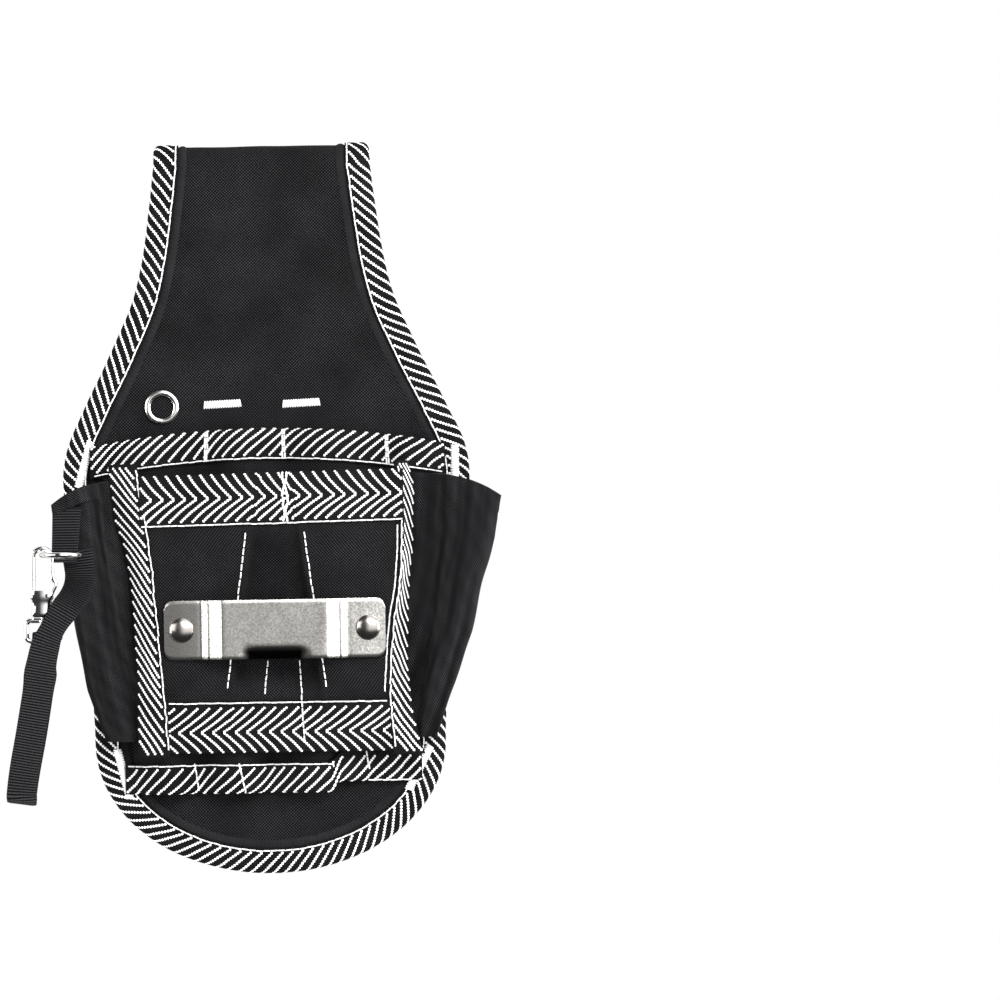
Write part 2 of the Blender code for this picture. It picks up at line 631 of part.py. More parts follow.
def d_ring():
    """A straight bar in the webbing and a bow that stands forward from it."""
    path = [
        HINGE + Vector((-RING_HALF + 1.6, 0, 0)), HINGE + Vector((0, 0, 0)),
        HINGE + Vector((RING_HALF - 1.6, 0, 0)),
    ]
    for a in (0, 30, 60, 90):
        turn = math.radians(a)
        path.append(HINGE + Vector((RING_HALF - 1.6 + 1.6 * math.sin(turn), -1.6 + 1.6 * math.cos(turn), 0)))
    for k in range(13):
        a = math.radians(15 * k)
        path.append(HINGE + Vector((RING_HALF * math.cos(a), -RING_STRAIGHT - RING_HALF * math.sin(a), 0)))
    for a in (90, 60, 30):
        turn = math.radians(a)
        path.append(HINGE + Vector((-RING_HALF + 1.6 - 1.6 * math.sin(turn), -1.6 + 1.6 * math.cos(turn), 0)))
    clean = [p for i, p in enumerate(path) if (p - path[i - 1]).length > 0.05]
    planar_wire("d_ring", clean, Z_AXIS, RING_WIRE, "steel", closed=True, pivot=HINGE)


def snap_hook():
    pivot = Vector((HOOK_X, HOOK_Y, STEM_BOTTOM))
    claw = [Vector((HOOK_X - CLAW_R, HOOK_Y, STEM_TOP - 1.5)), Vector((HOOK_X - CLAW_R, HOOK_Y, CLAW_Z - 4))]
    for k in range(11):
        a = math.radians(180 - 18 * k)
        claw.append(Vector((HOOK_X + CLAW_R * math.cos(a), HOOK_Y, CLAW_Z + CLAW_R * math.sin(a))))
    claw.append(Vector((HOOK_X + CLAW_R, HOOK_Y, CLAW_Z - 1.4)))
    hook = planar_wire("snap_hook_body", claw, Y_AXIS, CLAW_WIRE, "steel", pivot=pivot)
    low = (HOOK_X - STEM_HALF - 0.8, HOOK_Y - STEM_DEEP, STEM_BOTTOM)
    high = (HOOK_X + STEM_HALF, HOOK_Y + STEM_DEEP, STEM_TOP)
    boolean(hook, box("hook_stem", low, high, "steel"), "UNION")
    slot_low = (HOOK_X - 0.6, HOOK_Y - 1.3, STEM_TOP - 3.6)
    boolean(
        hook, box("hook_gate_slot", slot_low, (HOOK_X + STEM_HALF + 1, HOOK_Y + 1.3, STEM_TOP + 1), "steel")
    )
    window_low = (HOOK_X - 2.2, HOOK_Y - STEM_DEEP - 1, STEM_BOTTOM + 1.3)
    boolean(
        hook,
        box(
            "hook_swivel_window", window_low, (HOOK_X + 2.2, HOOK_Y + STEM_DEEP + 1, STEM_BOTTOM + 4.1),
            "steel",
        ),
    )
    boolean(
        hook,
        turned("hook_swivel_hole", [(1.3, -1), (1.3, 2)], pivot, Z_AXIS, X_AXIS, Y_AXIS, "steel", steps=16),
    )
    boolean(
        hook,
        turned("hook_pin_hole", [(0.8, -4), (0.8, 4)], GATE_PIVOT, Y_AXIS, X_AXIS, Z_AXIS, "steel", steps=12),
    )


def gate():
    """The sprung lever that closes the claw, with a thumb pad, and its pin and spring."""
    x, z, top = GATE_PIVOT.x, GATE_PIVOT.z, CLAW_Z - 1.4 - CLAW_WIRE * 0.2 - GAP
    lean = HOOK_X + CLAW_R - 0.8
    outline = [
        (x - 1.1, z - 0.5), (x - 0.5, z - 1.2), (x + 0.6, z - 1.2), (x + 1.2, z - 0.4), (x + 2.9, z + 2.6),
        (x + 3.4, z + 4.2), (lean + 1.7, z + 4.8), (lean + 1.6, top), (lean, top), (lean, z + 3.2),
        (x - 1.1, z + 0.9),
    ]
    loops = [[(a, HOOK_Y + y, b) for a, b in outline] for y in (-0.8, 0.5)]
    lever = loft("hook_gate", loops, "steel", pivot=GATE_PIVOT)
    boolean(
        lever,
        turned("gate_pin_hole", [(0.8, -2), (0.8, 2)], GATE_PIVOT, Y_AXIS, X_AXIS, Z_AXIS, "steel", steps=12),
    )
    turned(
        "gate_pin", [(0.5, -2.5), (0.5, 2.5)], GATE_PIVOT, Y_AXIS, X_AXIS, Z_AXIS, "steel", pivot=GATE_PIVOT,
        steps=12,
    )
    coil = ((0.75, 0.7), (1.25, 0.7), (1.25, 1.1), (0.75, 1.1))
    turned_ring("gate_spring", coil, GATE_PIVOT, Y_AXIS, X_AXIS, Z_AXIS, "steel", pivot=GATE_PIVOT, steps=16)


def swivel_eye():
    """A rectangular wire eye on a headed stud that turns in the foot of the hook."""
    centre = Vector((HOOK_X, HOOK_Y, 0))
    corner, path = 1.3, []
    for cx, cz, first in ((1, 1, 0), (-1, 1, 90), (-1, -1, 180), (1, -1, 270)):
        for k in range(4):
            a = math.radians(first + 30 * k)
            x = cx * (EYE_HALF - corner) + corner * math.cos(a)
            z = cz * (EYE_TALL / 2 - corner) + corner * math.sin(a)
            path.append(centre + Vector((x, 0, EYE_TOP - EYE_TALL / 2 + z)))
    eye = planar_wire("swivel_eye", path, Y_AXIS, EYE_WIRE, "steel", closed=True)
    stud = [
        (0.95, EYE_TOP - 0.3), (0.95, STEM_BOTTOM + 1.7), (1.7, STEM_BOTTOM + 1.7), (1.7, STEM_BOTTOM + 2.7),
        (1.1, STEM_BOTTOM + 3.1),
    ]
    boolean(eye, turned("eye_stud", stud, centre, Z_AXIS, X_AXIS, Y_AXIS, "steel", steps=16), "UNION")


def strap():
    """Webbing sewn round the eye's lower bar, down behind to a fold, and up in front of the hook
    to its other end beside the tab."""
    bar_z = EYE_TOP - EYE_TALL
    loop_r = EYE_WIRE + 0.6 + WEB_THICK / 2
    path = [(HOOK_X, HOOK_Y - loop_r * 0.95, bar_z - 2.6)]
    for k in range(9):
        a = math.radians(200 - 27.5 * k)
        path.append((HOOK_X, HOOK_Y + loop_r * math.cos(a), bar_z + loop_r * math.sin(a)))
    for x, y, drop in STRAP_REAR_LEG:
        path.append((x, y, z_at(drop)))
    fold = Vector((STRAP_FOLD[0], STRAP_FOLD[1], z_at(STRAP_FOLD[2])))
    for k in range(7):
        a = math.radians(-30 * k)
        path.append((fold.x, fold.y + STRAP_FOLD_R * math.cos(a), fold.z + STRAP_FOLD_R * math.sin(a)))
    for x, y, drop in STRAP_FRONT_LEG:
        path.append((x, y, z_at(drop)))
    points = [Vector(p) for p in path]
    stations = []
    for i, p in enumerate(points):
        along = points[min(i + 1, len(points) - 1)] - points[max(i - 1, 0)]
        lean = Vector((along.x, 0, along.z))
        slope = lean.x / lean.z if abs(lean.z) > 0.4 * along.length else 0.16
        across = Vector((1, 0, -min(max(slope, -STRAP_LEAN), STRAP_LEAN))).normalized()
        gathered = 1 - smoothstep((bar_z - 3 - p.z) / 8)
        stations.append((p, across * mix(1, EYE_WEB_WIDE / WEB_WIDE, gathered)))
    ribbon("strap_webbing", stations, WEB_WIDE, WEB_THICK, "webbing", pivot=HINGE)


# ---------------------------------------------------------------- the whole pouch
cloth_back()
eyelet()
rear_pocket()
front_pocket()
seam_tapes()
side_pockets()
tape_clip()
webbing_tab()
d_ring()
snap_hook()
gate()
swivel_eye()
strap()
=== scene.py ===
"""The electrician tool pouch as it looks: woven cloth, herringbone tape, sewing and plated steel.

Lengths are in millimetres and become metres as each mesh is made. Points are laid out with the
front cloth at y = 0, and world() moves them so that the belt seat is the origin, as in the frame.
A "drop" is a distance down from the top edge."""

import math

import bpy
from mathutils import Matrix, Vector, noise

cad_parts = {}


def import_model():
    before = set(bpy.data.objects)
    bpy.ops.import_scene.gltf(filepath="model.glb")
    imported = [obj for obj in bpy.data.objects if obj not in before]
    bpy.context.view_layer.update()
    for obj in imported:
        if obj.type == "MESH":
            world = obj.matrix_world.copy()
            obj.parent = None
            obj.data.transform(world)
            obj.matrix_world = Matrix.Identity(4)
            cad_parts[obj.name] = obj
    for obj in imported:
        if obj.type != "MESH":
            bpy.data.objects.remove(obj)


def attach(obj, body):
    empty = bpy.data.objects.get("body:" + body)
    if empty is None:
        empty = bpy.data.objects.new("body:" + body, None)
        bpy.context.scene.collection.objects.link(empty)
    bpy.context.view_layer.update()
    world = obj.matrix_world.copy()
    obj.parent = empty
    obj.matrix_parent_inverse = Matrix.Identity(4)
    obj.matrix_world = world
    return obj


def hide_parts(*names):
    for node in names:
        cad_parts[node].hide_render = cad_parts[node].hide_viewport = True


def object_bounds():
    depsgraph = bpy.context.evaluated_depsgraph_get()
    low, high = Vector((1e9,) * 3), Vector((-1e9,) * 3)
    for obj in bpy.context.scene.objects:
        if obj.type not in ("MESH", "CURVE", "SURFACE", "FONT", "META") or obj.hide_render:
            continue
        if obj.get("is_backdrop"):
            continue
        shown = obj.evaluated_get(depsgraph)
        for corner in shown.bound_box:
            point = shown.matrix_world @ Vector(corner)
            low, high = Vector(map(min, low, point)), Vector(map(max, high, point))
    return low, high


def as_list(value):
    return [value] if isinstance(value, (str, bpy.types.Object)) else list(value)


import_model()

CAD_LOW, CAD_HIGH = (corner.copy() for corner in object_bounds())
MM = 0.001
X_AXIS, Y_AXIS, Z_AXIS = Vector((1, 0, 0)), Vector((0, 1, 0)), Vector((0, 0, 1))

# The driving sizes of the frame
PANEL, FOLD_R, TOP = 3.2, 6.7, 3.2
EDGE_KEYS = (
    (0, 37.2), (28, 39.9), (48.6, 43.8), (69, 52.2), (90, 62.5), (105, 68.8), (113, 69.9), (205, 60.3)
)
BOTTOM_DROP, BOTTOM_RX, BOTTOM_RZ = 205.0, 60.3, 45.3
FLAP_END, FLAP_HALF_END, FLAP_STANDOFF = 97.0, 27.0, 1.3
FLAP_LEAVES, FLAP_LANDS = 62.0, 84.0
CLOTH = 0.8
REAR_TOP, REAR_BOTTOM = (101.0, -57.0, 57.6), (221.0, -46.0, 45.0)
REAR_SEAMS_TOP, REAR_SEAMS_BOTTOM = (-20.3, 6.1, 41.5), (-24.0, 0.0, 33.0)
REAR_SEAT, REAR_BULGE = 2.1, 6.0
FRONT_TOP, FRONT_BOTTOM, FRONT_CLOSES = 114.4, 206.0, 184.0
FRONT_FACE, FRONT_FOOT = 16.8, 10.2
CLIP_X, CLIP_DROP, CLIP_LONG, CLIP_TALL, CLIP_THICK = 2.5, 166.0, 75.7, 20.2, 1.0
CLIP_BACK, CLIP_CORNER = 17.2, 3.0
RIVET_OFFSET = 31.8
EYELET_X, EYELET_DROP = -35.5, 89.4
HINGE = Vector((-69.5, -24.0, TOP - 139.5))
HOOK_X, HOOK_Y = HINGE.x - 6.5, HINGE.y - 6.5
STEM_TOP, STEM_BOTTOM = HINGE.z - 12.0, HINGE.z - 21.0
EYE_TOP, EYE_TALL, EYE_HALF = STEM_BOTTOM - 1.2, 7.0, 5.7

STRAP_REAR_LEG = ((-76.6, -28.6, 174.7), (-77.8, -26.0, 184), (-80.6, -23.2, 200), (-83.2, -22.7, 213))
STRAP_FRONT_LEG = (
    (-83.2, -29.6, 212), (-80.8, -31.6, 200), (-78.2, -33.4, 186), (-76.3, -34.8, 175), (-74.3, -35.4, 168),
    (
        -71.4, -35.4, 162.5
    ), (-68.4, -34.8, 158), (-65.8, -31.2, 154.6), (-64.2, -26.6, 151), (-63.7, -22.6, 147.5),
    (-63.9, -20.6, 143.5), (-64.6, -20.2, 138.4),
)

# The tape and its herringbone
TAPE, TAPE_OVER = 0.6, 0.9  # its thickness, and how far its outer face stands off the cloth
PITCH, YARN, BEAD = 3.9, 0.35, 0.9  # from stripe to stripe, half a stripe's width, one float
THREAD = 0.24


def z_at(drop):
    return TOP - drop


def world(p):
    return (Vector(p) - Vector((0, FOLD_R, 0))) * MM


def mix(a, b, t):
    return a + (b - a) * t


def smoothstep(t):
    t = min(max(t, 0.0), 1.0)
    return t * t * (3 - 2 * t)


def between(keys, at):
    """Straight interpolation in a short list of (place, value)."""
    for (a, u), (b, v) in zip(keys, keys[1:]):
        if at <= b:
            return mix(u, v, (max(at, a) - a) / (b - a))
    return keys[-1][1]


def ripple(x, y, z, size, seed=0.0):
    """Smooth noise from -1 to 1, the same on every run."""
    return noise.noise(Vector((x / size + seed, y / size - seed, z / size + 0.37 * seed)))


# ---------------------------------------------------------------- materials
class Shader:
    """A Principled material whose nodes are added one call at a time."""

    def __init__(self, name, colour, roughness, metallic=0.0):
        self.material = bpy.data.materials.new(name)
        self.material.use_nodes = True
        self.tree = self.material.node_tree
        self.surface = self.tree.nodes["Principled BSDF"]
        self.set("Base Color", (*colour, 1))
        self.set("Roughness", roughness)
        self.set("Metallic", metallic)

    def set(self, socket, value):
        if isinstance(value, bpy.types.NodeSocket):
            self.tree.links.new(value, self.surface.inputs[socket])
        else:
            self.surface.inputs[socket].default_value = value

    def add(self, kind, inputs, output=0, **settings):
        made = self.tree.nodes.new("ShaderNode" + kind)
        for key, value in settings.items():
            setattr(made, key, value)
        for key, value in inputs.items():
            if isinstance(value, bpy.types.NodeSocket):
                self.tree.links.new(value, made.inputs[key])
            else:
                made.inputs[key].default_value = value
        return made.outputs[output]

    def math(self, operation, a, b=0.0):
        return self.add("Math", {0: a, 1: b}, operation=operation)

    def blend(self, factor, low, high):
        low = low if isinstance(low, bpy.types.NodeSocket) else (*low, 1)
        return self.add("Mix", {0: factor, 6: low, 7: (*high, 1)}, output=2, data_type="RGBA")

    def ramp(self, value, low, high, to_low=0.0, to_high=1.0):
        inputs = {0: value, 1: low, 2: high, 3: to_low, 4: to_high}
        return self.add("MapRange", inputs)

    def noise(self, vector, scale, detail=3.0, roughness=0.6):
        inputs = {"Vector": vector, "Scale": scale, "Detail": detail, "Roughness": roughness}
        return self.add("TexNoise", inputs)

    def bump(self, height, distance, strength=1.0):
        inputs = {"Height": height, "Distance": distance, "Strength": strength}
        self.set("Normal", self.add("Bump", inputs))


def place_nodes(shader):
    """(position in mm along the cloth, its two parts)."""
    uv = shader.add("UVMap", {}, uv_map="weave")
    parts = shader.tree.nodes.new("ShaderNodeSeparateXYZ")
    shader.tree.links.new(uv, parts.inputs[0])
    return uv, parts.outputs[0], parts.outputs[1]


def wave(shader, value, period, shift=0.0):
    turned = shader.math("MULTIPLY", value, 2 * math.pi / period)
    return shader.math("SINE", shader.math("ADD", turned, shift) if shift else turned)


def woven(name, dark, light, period, sheen, twill=0.0, depth=0.00012, flecks=0.5, fold_shade_streaks=False):
    """Plain weave of bumps on a chequer, or diagonal ribs as twill goes to 1. The raised threads are painted
    lighter than the hollows, a painted highlight mixed with random grain. Streaks are painted light and shade:
    lighter and darker lines along long soft folds."""
    shader = Shader(name, dark, 0.88)
    place, u, v = place_nodes(shader)
    plain = shader.math("MULTIPLY", wave(shader, u, period), wave(shader, v, period))
    ribs = wave(shader, shader.math("ADD", u, v), period * 0.9)
    height = shader.math(
        "ADD", shader.math("MULTIPLY", plain, 1 - twill), shader.math("MULTIPLY", ribs, twill)
    )
    grain = shader.noise(place, 2.6, 4.0, 0.7)
    patches = shader.noise(place, 0.045, 3.0)
    # the raised threads are painted lighter: a painted highlight on the weave, mixed with random grain
    weave_highlight_and_grain = shader.ramp(shader.math("ADD", height, shader.ramp(grain, 0.2, 0.8, -0.8, 0.8)), -0.2, 1.6)
    # painted light and shade of long soft folds: noise stretched down the cloth makes lighter and darker lines
    if fold_shade_streaks:
        stretched = shader.add("Mapping", {"Vector": place, "Scale": (1.0, 0.09, 1.0)})
        patches = shader.noise(stretched, 0.16, 2.0)
    spread = (0.36, 0.66, 0.15, 1.7) if fold_shade_streaks else (0.3, 0.75, 0.4, 1.0)
    lifted = shader.math("MULTIPLY", weave_highlight_and_grain, shader.ramp(patches, *spread))
    flecked = shader.math("ADD", lifted, shader.ramp(grain, 0.68, 0.8, 0.0, flecks))
    shader.set("Base Color", shader.blend(flecked, dark, light))
    shader.set("Sheen Weight", sheen)
    shader.set("Sheen Roughness", 0.45)
    shader.set("Specular IOR Level", 0.03)
    shader.bump(shader.math("ADD", height, shader.math("MULTIPLY", grain, 0.9)), depth)
    return shader.material


def yarn_look(name, colour, shade, period=0.55):
    """Soft spun thread: fibres, and a second tone along them that is stronger in some patches than in others.
    """
    shader = Shader(name, colour, 0.8)
    place = shader.add("TexCoord", {}, output=3)
    fibres = shader.noise(place, 1800 / period, 3.0, 0.65)
    tint = shader.noise(place, 90.0, 2.0)
    shader.set(
        "Base Color",
        shader.blend(shader.math("MULTIPLY", fibres, shader.ramp(tint, 0.3, 0.7, 0.5, 1.0)), colour, shade),
    )
    shader.set("Specular IOR Level", 0.08)
    shader.bump(fibres, 0.00005)
    return shader.material


def webbing_look():
    shader = Shader("webbing", (0.014, 0.014, 0.016), 0.8)
    place, u, v = place_nodes(shader)
    ribs = wave(shader, v, 0.95)
    cross = wave(shader, u, 0.8)
    grain = shader.noise(place, 2.2, 3.0, 0.7)
    height = shader.math("ADD", ribs, shader.math("MULTIPLY", shader.math("MULTIPLY", cross, ribs), 0.5))
    # the raised ribs are painted lighter: a painted highlight on the webbing, mixed with random grain
    weave_highlight_and_grain = shader.ramp(shader.math("ADD", height, shader.ramp(grain, 0.2, 0.8, -0.7, 0.7)), -0.4, 1.8)
    shader.set("Base Color", shader.blend(weave_highlight_and_grain, (0.0035, 0.0035, 0.004), (0.05, 0.05, 0.054)))
    shader.set("Specular IOR Level", 0.05)
    shader.set("Sheen Weight", 0.01)
    shader.bump(height, 0.0001)
    return shader.material


def plated(name, colour, shade, roughness, spangle, bump=0.00001, dish=False):
    """Plated steel: clouded colour and gloss, with fine grains when it is galvanised. The clip's
    dished lead-in is painted darker: painted shade and a painted dark reflection in the dish."""
    shader = Shader(name, colour, roughness, metallic=1.0)
    place = shader.add("TexCoord", {}, output=3)
    grains = shader.noise(place, 1500.0, 4.0, 0.75)
    clouds = shader.noise(place, 110.0, 4.0, 0.6)
    mixed = shader.math(
        "ADD", shader.ramp(grains, 0.35, 0.65, 0.0, spangle), shader.ramp(clouds, 0.3, 0.7, 0.0, 0.35)
    )
    tinted = shader.blend(mixed, colour, shade)
    if dish:
        # painted shade and a painted dark reflection in the clip's dished lead-in, as a darker colour
        _, u, v = place_nodes(shader)
        inside = shader.ramp(shader.math("ABSOLUTE", u), 11.4, 8.8)
        dish_shade_low = shader.ramp(v, -14.4, -18.0)
        tinted = shader.blend(shader.math("MULTIPLY", inside, dish_shade_low), tinted, (0.015, 0.014, 0.013))
    shader.set("Base Color", tinted)
    shader.set("Roughness", shader.ramp(mixed, 0.0, 1.0, roughness, roughness + 0.16))
    shader.bump(shader.math("ADD", grains, clouds), bump * (0.4 + spangle))
    return shader.material


LOOKS = {
    "oxford": ("cloth", woven("oxford_cloth", (0.002, 0.002, 0.0023), (0.066, 0.066, 0.070), 1.08, 0.008)),
    "side": (
        "cloth",
        woven("side_cloth", (0.002, 0.002, 0.0023), (0.05, 0.05, 0.053), 0.95, 0.03, twill=0.6, fold_shade_streaks=True),
    ),
    "lining": (
        "cloth", woven("lining_cloth", (0.002, 0.002, 0.0023), (0.05, 0.05, 0.053), 0.95, 0.03, twill=0.6)
    ),
    "tape": ("herringbone_tape", woven("tape_ground", (0.002, 0.002, 0.0022), (0.05, 0.05, 0.05), 0.62, 0.0)),
    "stripe": ("herringbone_tape", yarn_look("tape_stripe", (0.90, 0.90, 0.89), (0.50, 0.50, 0.50))),
    "thread": ("thread", yarn_look("white_thread", (0.90, 0.90, 0.89), (0.55, 0.55, 0.55), 0.4)),
    "black_thread": ("cloth", yarn_look("black_thread", (0.003, 0.003, 0.0035), (0.024, 0.022, 0.025), 0.4)),
    "webbing": ("webbing", webbing_look()),
    "plate": (
        "clip_plate", plated("galvanised_plate", (0.80, 0.78, 0.74), (0.27, 0.26, 0.245), 0.2, 0.9, dish=True)
    ),
    "rivet": ("clip_rivets", plated("dull_nickel", (0.50, 0.47, 0.44), (0.36, 0.34, 0.32), 0.17, 0.15)),
    "nickel": ("eyelet_nickel", plated("eyelet_nickel", (0.90, 0.89, 0.86), (0.70, 0.69, 0.66), 0.16, 0.1)),
    "chrome": ("strap_hardware", plated("bright_nickel", (0.86, 0.86, 0.85), (0.66, 0.66, 0.65), 0.07, 0.1)),
    "spring": ("spring_steel", plated("spring_wire", (0.6, 0.6, 0.6), (0.4, 0.4, 0.4), 0.3, 0.2)),
}


# ---------------------------------------------------------------- meshes
class Batch:
    """Points, faces and weave coordinates that gather into one piece."""

    def __init__(self):
        self.points, self.faces, self.weave = [], [], []

    def loops(self, loops, closed=False, places=None):
        """A skin over loops of points, capped at both ends unless it closes on itself."""
        n, start = len(loops[0]), len(self.points)
        for i, loop in enumerate(loops):
            self.points += loop
            self.weave += places[i] if places else [(p[0], p[2]) for p in loop]
        for i in range(len(loops) if closed else len(loops) - 1):
            a, b = start + i * n, start + (i + 1) % len(loops) * n
            self.faces += [(a + k, a + (k + 1) % n, b + (k + 1) % n, b + k) for k in range(n)]
        if not closed:
            last = start + (len(loops) - 1) * n
            self.faces += [tuple(reversed(range(start, start + n))), tuple(range(last, last + n))]

    def tube(self, path, radius, steps=8, closed=False, flat=1.0, ups=None):
        """A round or flattened cord along a path; radius is a number or one number a point."""
        loops = []
        up = None
        for i, p in enumerate(path):
            before = path[i - 1] if i or closed else p
            after = path[(i + 1) % len(path)] if i < len(path) - 1 or closed else p
            along = (after - before).normalized()
            if ups:
                up = ups[i]
            elif up is None:
                up = Y_AXIS if abs(along.y) < 0.8 else Z_AXIS
            side = along.cross(up).normalized()
            up = side.cross(along).normalized()
            r = radius[i] if isinstance(radius, list) else radius
            turn = 2 * math.pi / steps
            loops.append(
                [p + r * math.cos(k * turn) * side + flat * r * math.sin(k * turn) * up for k in range(steps)]
            )
        self.loops(loops, closed=closed)

    def make(self, name, look, body="pouch", replaces=(), sharp=40, level=0):
        slot, material = LOOKS[look]
        mesh = bpy.data.meshes.new(name)
        mesh.from_pydata([world(p) for p in self.points], [], self.faces)
        layer = mesh.uv_layers.new(name="weave")
        order = [0] * len(mesh.loops)
        mesh.loops.foreach_get("vertex_index", order)
        layer.data.foreach_set("uv", [part for k in order for part in self.weave[k]])
        mesh.shade_smooth()
        mesh.set_sharp_from_angle(angle=math.radians(sharp))
        mesh.materials.append(material)
        obj = bpy.data.objects.new(name, mesh)
        bpy.context.scene.collection.objects.link(obj)
        if level:
            smooth = obj.modifiers.new("smooth", "SUBSURF")
            smooth.levels = smooth.render_levels = level
        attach(obj, body)
        if replaces:
            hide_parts(*replaces)
        return obj


def grid_normals(rows):
    """The outward normal at each point; rows run down and each row runs to the right."""
    normals = []
    for i, row in enumerate(rows):
        above, below = rows[max(i - 1, 0)], rows[min(i + 1, len(rows) - 1)]
        line = []
        for j in range(len(row)):
            across = row[min(j + 1, len(row) - 1)] - row[max(j - 1, 0)]
            line.append((below[j] - above[j]).cross(across).normalized())
        normals.append(line)
    return normals


def thick_sheet(batch, rows, thick, facing=1):
    """A cloth wall: rows of outer points, and the same rows moved in by the thickness."""
    normals = grid_normals(rows)
    middle = len(rows[0]) // 2
    down, loops, places = 0.0, [], []
    for i, row in enumerate(rows):
        if i:
            down -= (row[middle] - rows[i - 1][middle]).length
        across, marks = 0.0, []
        for j, p in enumerate(row):
            across += (p - row[j - 1]).length if j else 0.0
            marks.append((across, down))
        half = marks[middle][0]
        marks = [(a - half, b) for a, b in marks]
        inner = [p - n * thick * facing for p, n in zip(row, normals[i])]
        loops.append(row + inner[::-1])
        places.append(marks + marks[::-1])
    batch.loops(loops, places=places)


def stitches(batch, track, length=2.5, gap=0.12, radius=THREAD, lift=0.1, wander=0.2, seed=0.0):
    """Running stitches on a track of (point, outward normal): each a short thread that dips at its ends."""
    lengths = [0.0]
    for (p, _), (q, _) in zip(track, track[1:]):
        lengths.append(lengths[-1] + (q - p).length)

    def at(s):
        k = max(i for i in range(len(lengths)) if lengths[i] <= s or i == 0)
        k = min(k, len(track) - 2)
        t = (s - lengths[k]) / max(lengths[k + 1] - lengths[k], 1e-6)
        return track[k][0].lerp(track[k + 1][0], t), track[k][1].lerp(track[k + 1][1], t).normalized()

    s, number = 0.0, 0
    while s + length * 0.6 < lengths[-1]:
        end = min(s + length - gap, lengths[-1])
        path, ups, radii = [], [], []
        for t in (0.0, 0.12, 0.5, 0.88, 1.0):
            p, n = at(mix(s, end, t))
            q, _ = at(mix(s, end, t) + 0.05)
            side = (q - p).cross(n)
            side = side.normalized() if side.length > 1e-9 else X_AXIS
            sway = wander * ripple(s + t, number, 3.3, 2.0, seed)
            path.append(p + n * (lift * math.sin(math.pi * t) - 0.1 + radius * 0.6) + side * sway)
            ups.append(n)
            radii.append(radius * (0.7 if t in (0.0, 1.0) else 1.0))
        batch.tube(path, radii, steps=6, ups=ups)
        s += length
        number += 1


def satin(batch, start, end, width, normal, lift=0.55, pitch=0.42):
    """A bar tack: threads laid side by side over a core, from start to end."""
    along = (end - start).normalized()
    side = along.cross(normal).normalized()
    count = int((end - start).length / pitch)
    for k in range(count + 1):
        centre = start.lerp(end, k / count)
        reach = width / 2 * (1 + 0.12 * ripple(k, start.x, start.z, 1.3))
        lean = along * 0.35 * (1 if k % 2 else -1)
        path = []
        for t in (-1, -0.85, -0.45, 0, 0.45, 0.85, 1):
            path.append(centre + side * reach * t + lean * t * 0.5 + normal * lift * (1 - abs(t) ** 3.0))
        batch.tube(path, 0.27, steps=6, ups=[normal] * len(path))
    core = [start.lerp(end, k / 6) + normal * lift * 0.35 for k in range(7)]
    batch.tube(core, width * 0.42, steps=10, flat=lift * 0.9 / width, ups=[normal] * 7)


def stripe(batch, surface, start, finish, seed=0.0, bend=0.0):
    """One white stripe of the herringbone: a row of yarn floats from start to finish on a surface."""
    first, last = Vector(start), Vector(finish)
    steps = max(4, int((surface(*start)[0] - surface(*finish)[0]).length / BEAD) * 3)
    path, ups, radii = [], [], []
    for k in range(steps + 1):
        s, t = first.lerp(last, k / steps)
        s += bend * math.sin(math.pi * k / steps)
        p, n = surface(s, t)
        q, _ = surface(s + 0.1, t)
        step = 0.10 * ripple(s, t, k, 1.3, seed)
        path.append(p + (q - p).normalized() * step + n * 0.07)
        ups.append(n)
        radii.append(YARN * (1.3 if k % 3 else 0.2))
    batch.tube(path, radii, steps=6, flat=0.45, ups=ups)


def herringbone(batch, surface, s_from, s_to, legs, seed=0.0, bend=0.0):
    """Stripes along a tape. legs holds (t at the point of the chevron, t at its open end, slope)."""
    for number in range(int(s_from / PITCH) - 6, int(s_to / PITCH) + 7):
        point = number * PITCH + 0.3 * ripple(number, 0, 0, 1.7, seed)
        sway = 1 + 0.16 * ripple(number, 0, 0, 7.3, seed + 2)
        for near, far, slope in legs:
            tip = point + slope * sway * abs(far - near)
            low, high = 0.0, 1.0
            ends = sorted(((s_from - point) / (tip - point), (s_to - point) / (tip - point)))
            low, high = max(low, ends[0]), min(high, ends[1])
            if high - low > 0.08:
                a = (mix(point, tip, low), mix(near, far, low))
                b = (mix(point, tip, high), mix(near, far, high))
                stripe(batch, surface, a, b, seed + number * 0.37, bend * (high - low))


# ---------------------------------------------------------------- the back and its binding
def half_width(drop):
    """Half the outer width of the bound back, at a drop below the top."""
    if drop >= BOTTOM_DROP:
        return BOTTOM_RX * math.sqrt(max(0.0, 1 - ((drop - BOTTOM_DROP) / BOTTOM_RZ) ** 2))
    keys = EDGE_KEYS
    i = max(k for k in range(len(keys) - 1) if keys[k][0] <= max(drop, 0))
    (d0, w0), (d1, w1) = keys[i], keys[i + 1]

    def slope(k):
        if k in (0, len(keys) - 1):
            return 0.0
        before = (keys[k][1] - keys[k - 1][1]) / (keys[k][0] - keys[k - 1][0])
        after = (keys[k + 1][1] - keys[k][1]) / (keys[k + 1][0] - keys[k][0])
        return 0.0 if before * after <= 0 else 2 * before * after / (before + after)

    t, span = (max(drop, 0) - d0) / (d1 - d0), d1 - d0
    ease = (2 * t**3 - 3 * t**2 + 1) * w0 + (3 * t**2 - 2 * t**3) * w1
    return ease + span * ((t**3 - 2 * t**2 + t) * slope(i) + (t**3 - t**2) * slope(i + 1))


def flap_half(drop):
    return mix(EDGE_KEYS[0][1], FLAP_HALF_END, smoothstep((drop - 55) / 30))


def flap_y(drop):
    landed = 2 * PANEL + FLAP_STANDOFF
    return mix(2 * FOLD_R, landed, smoothstep((drop - FLAP_LEAVES) / (FLAP_LANDS - FLAP_LEAVES)))


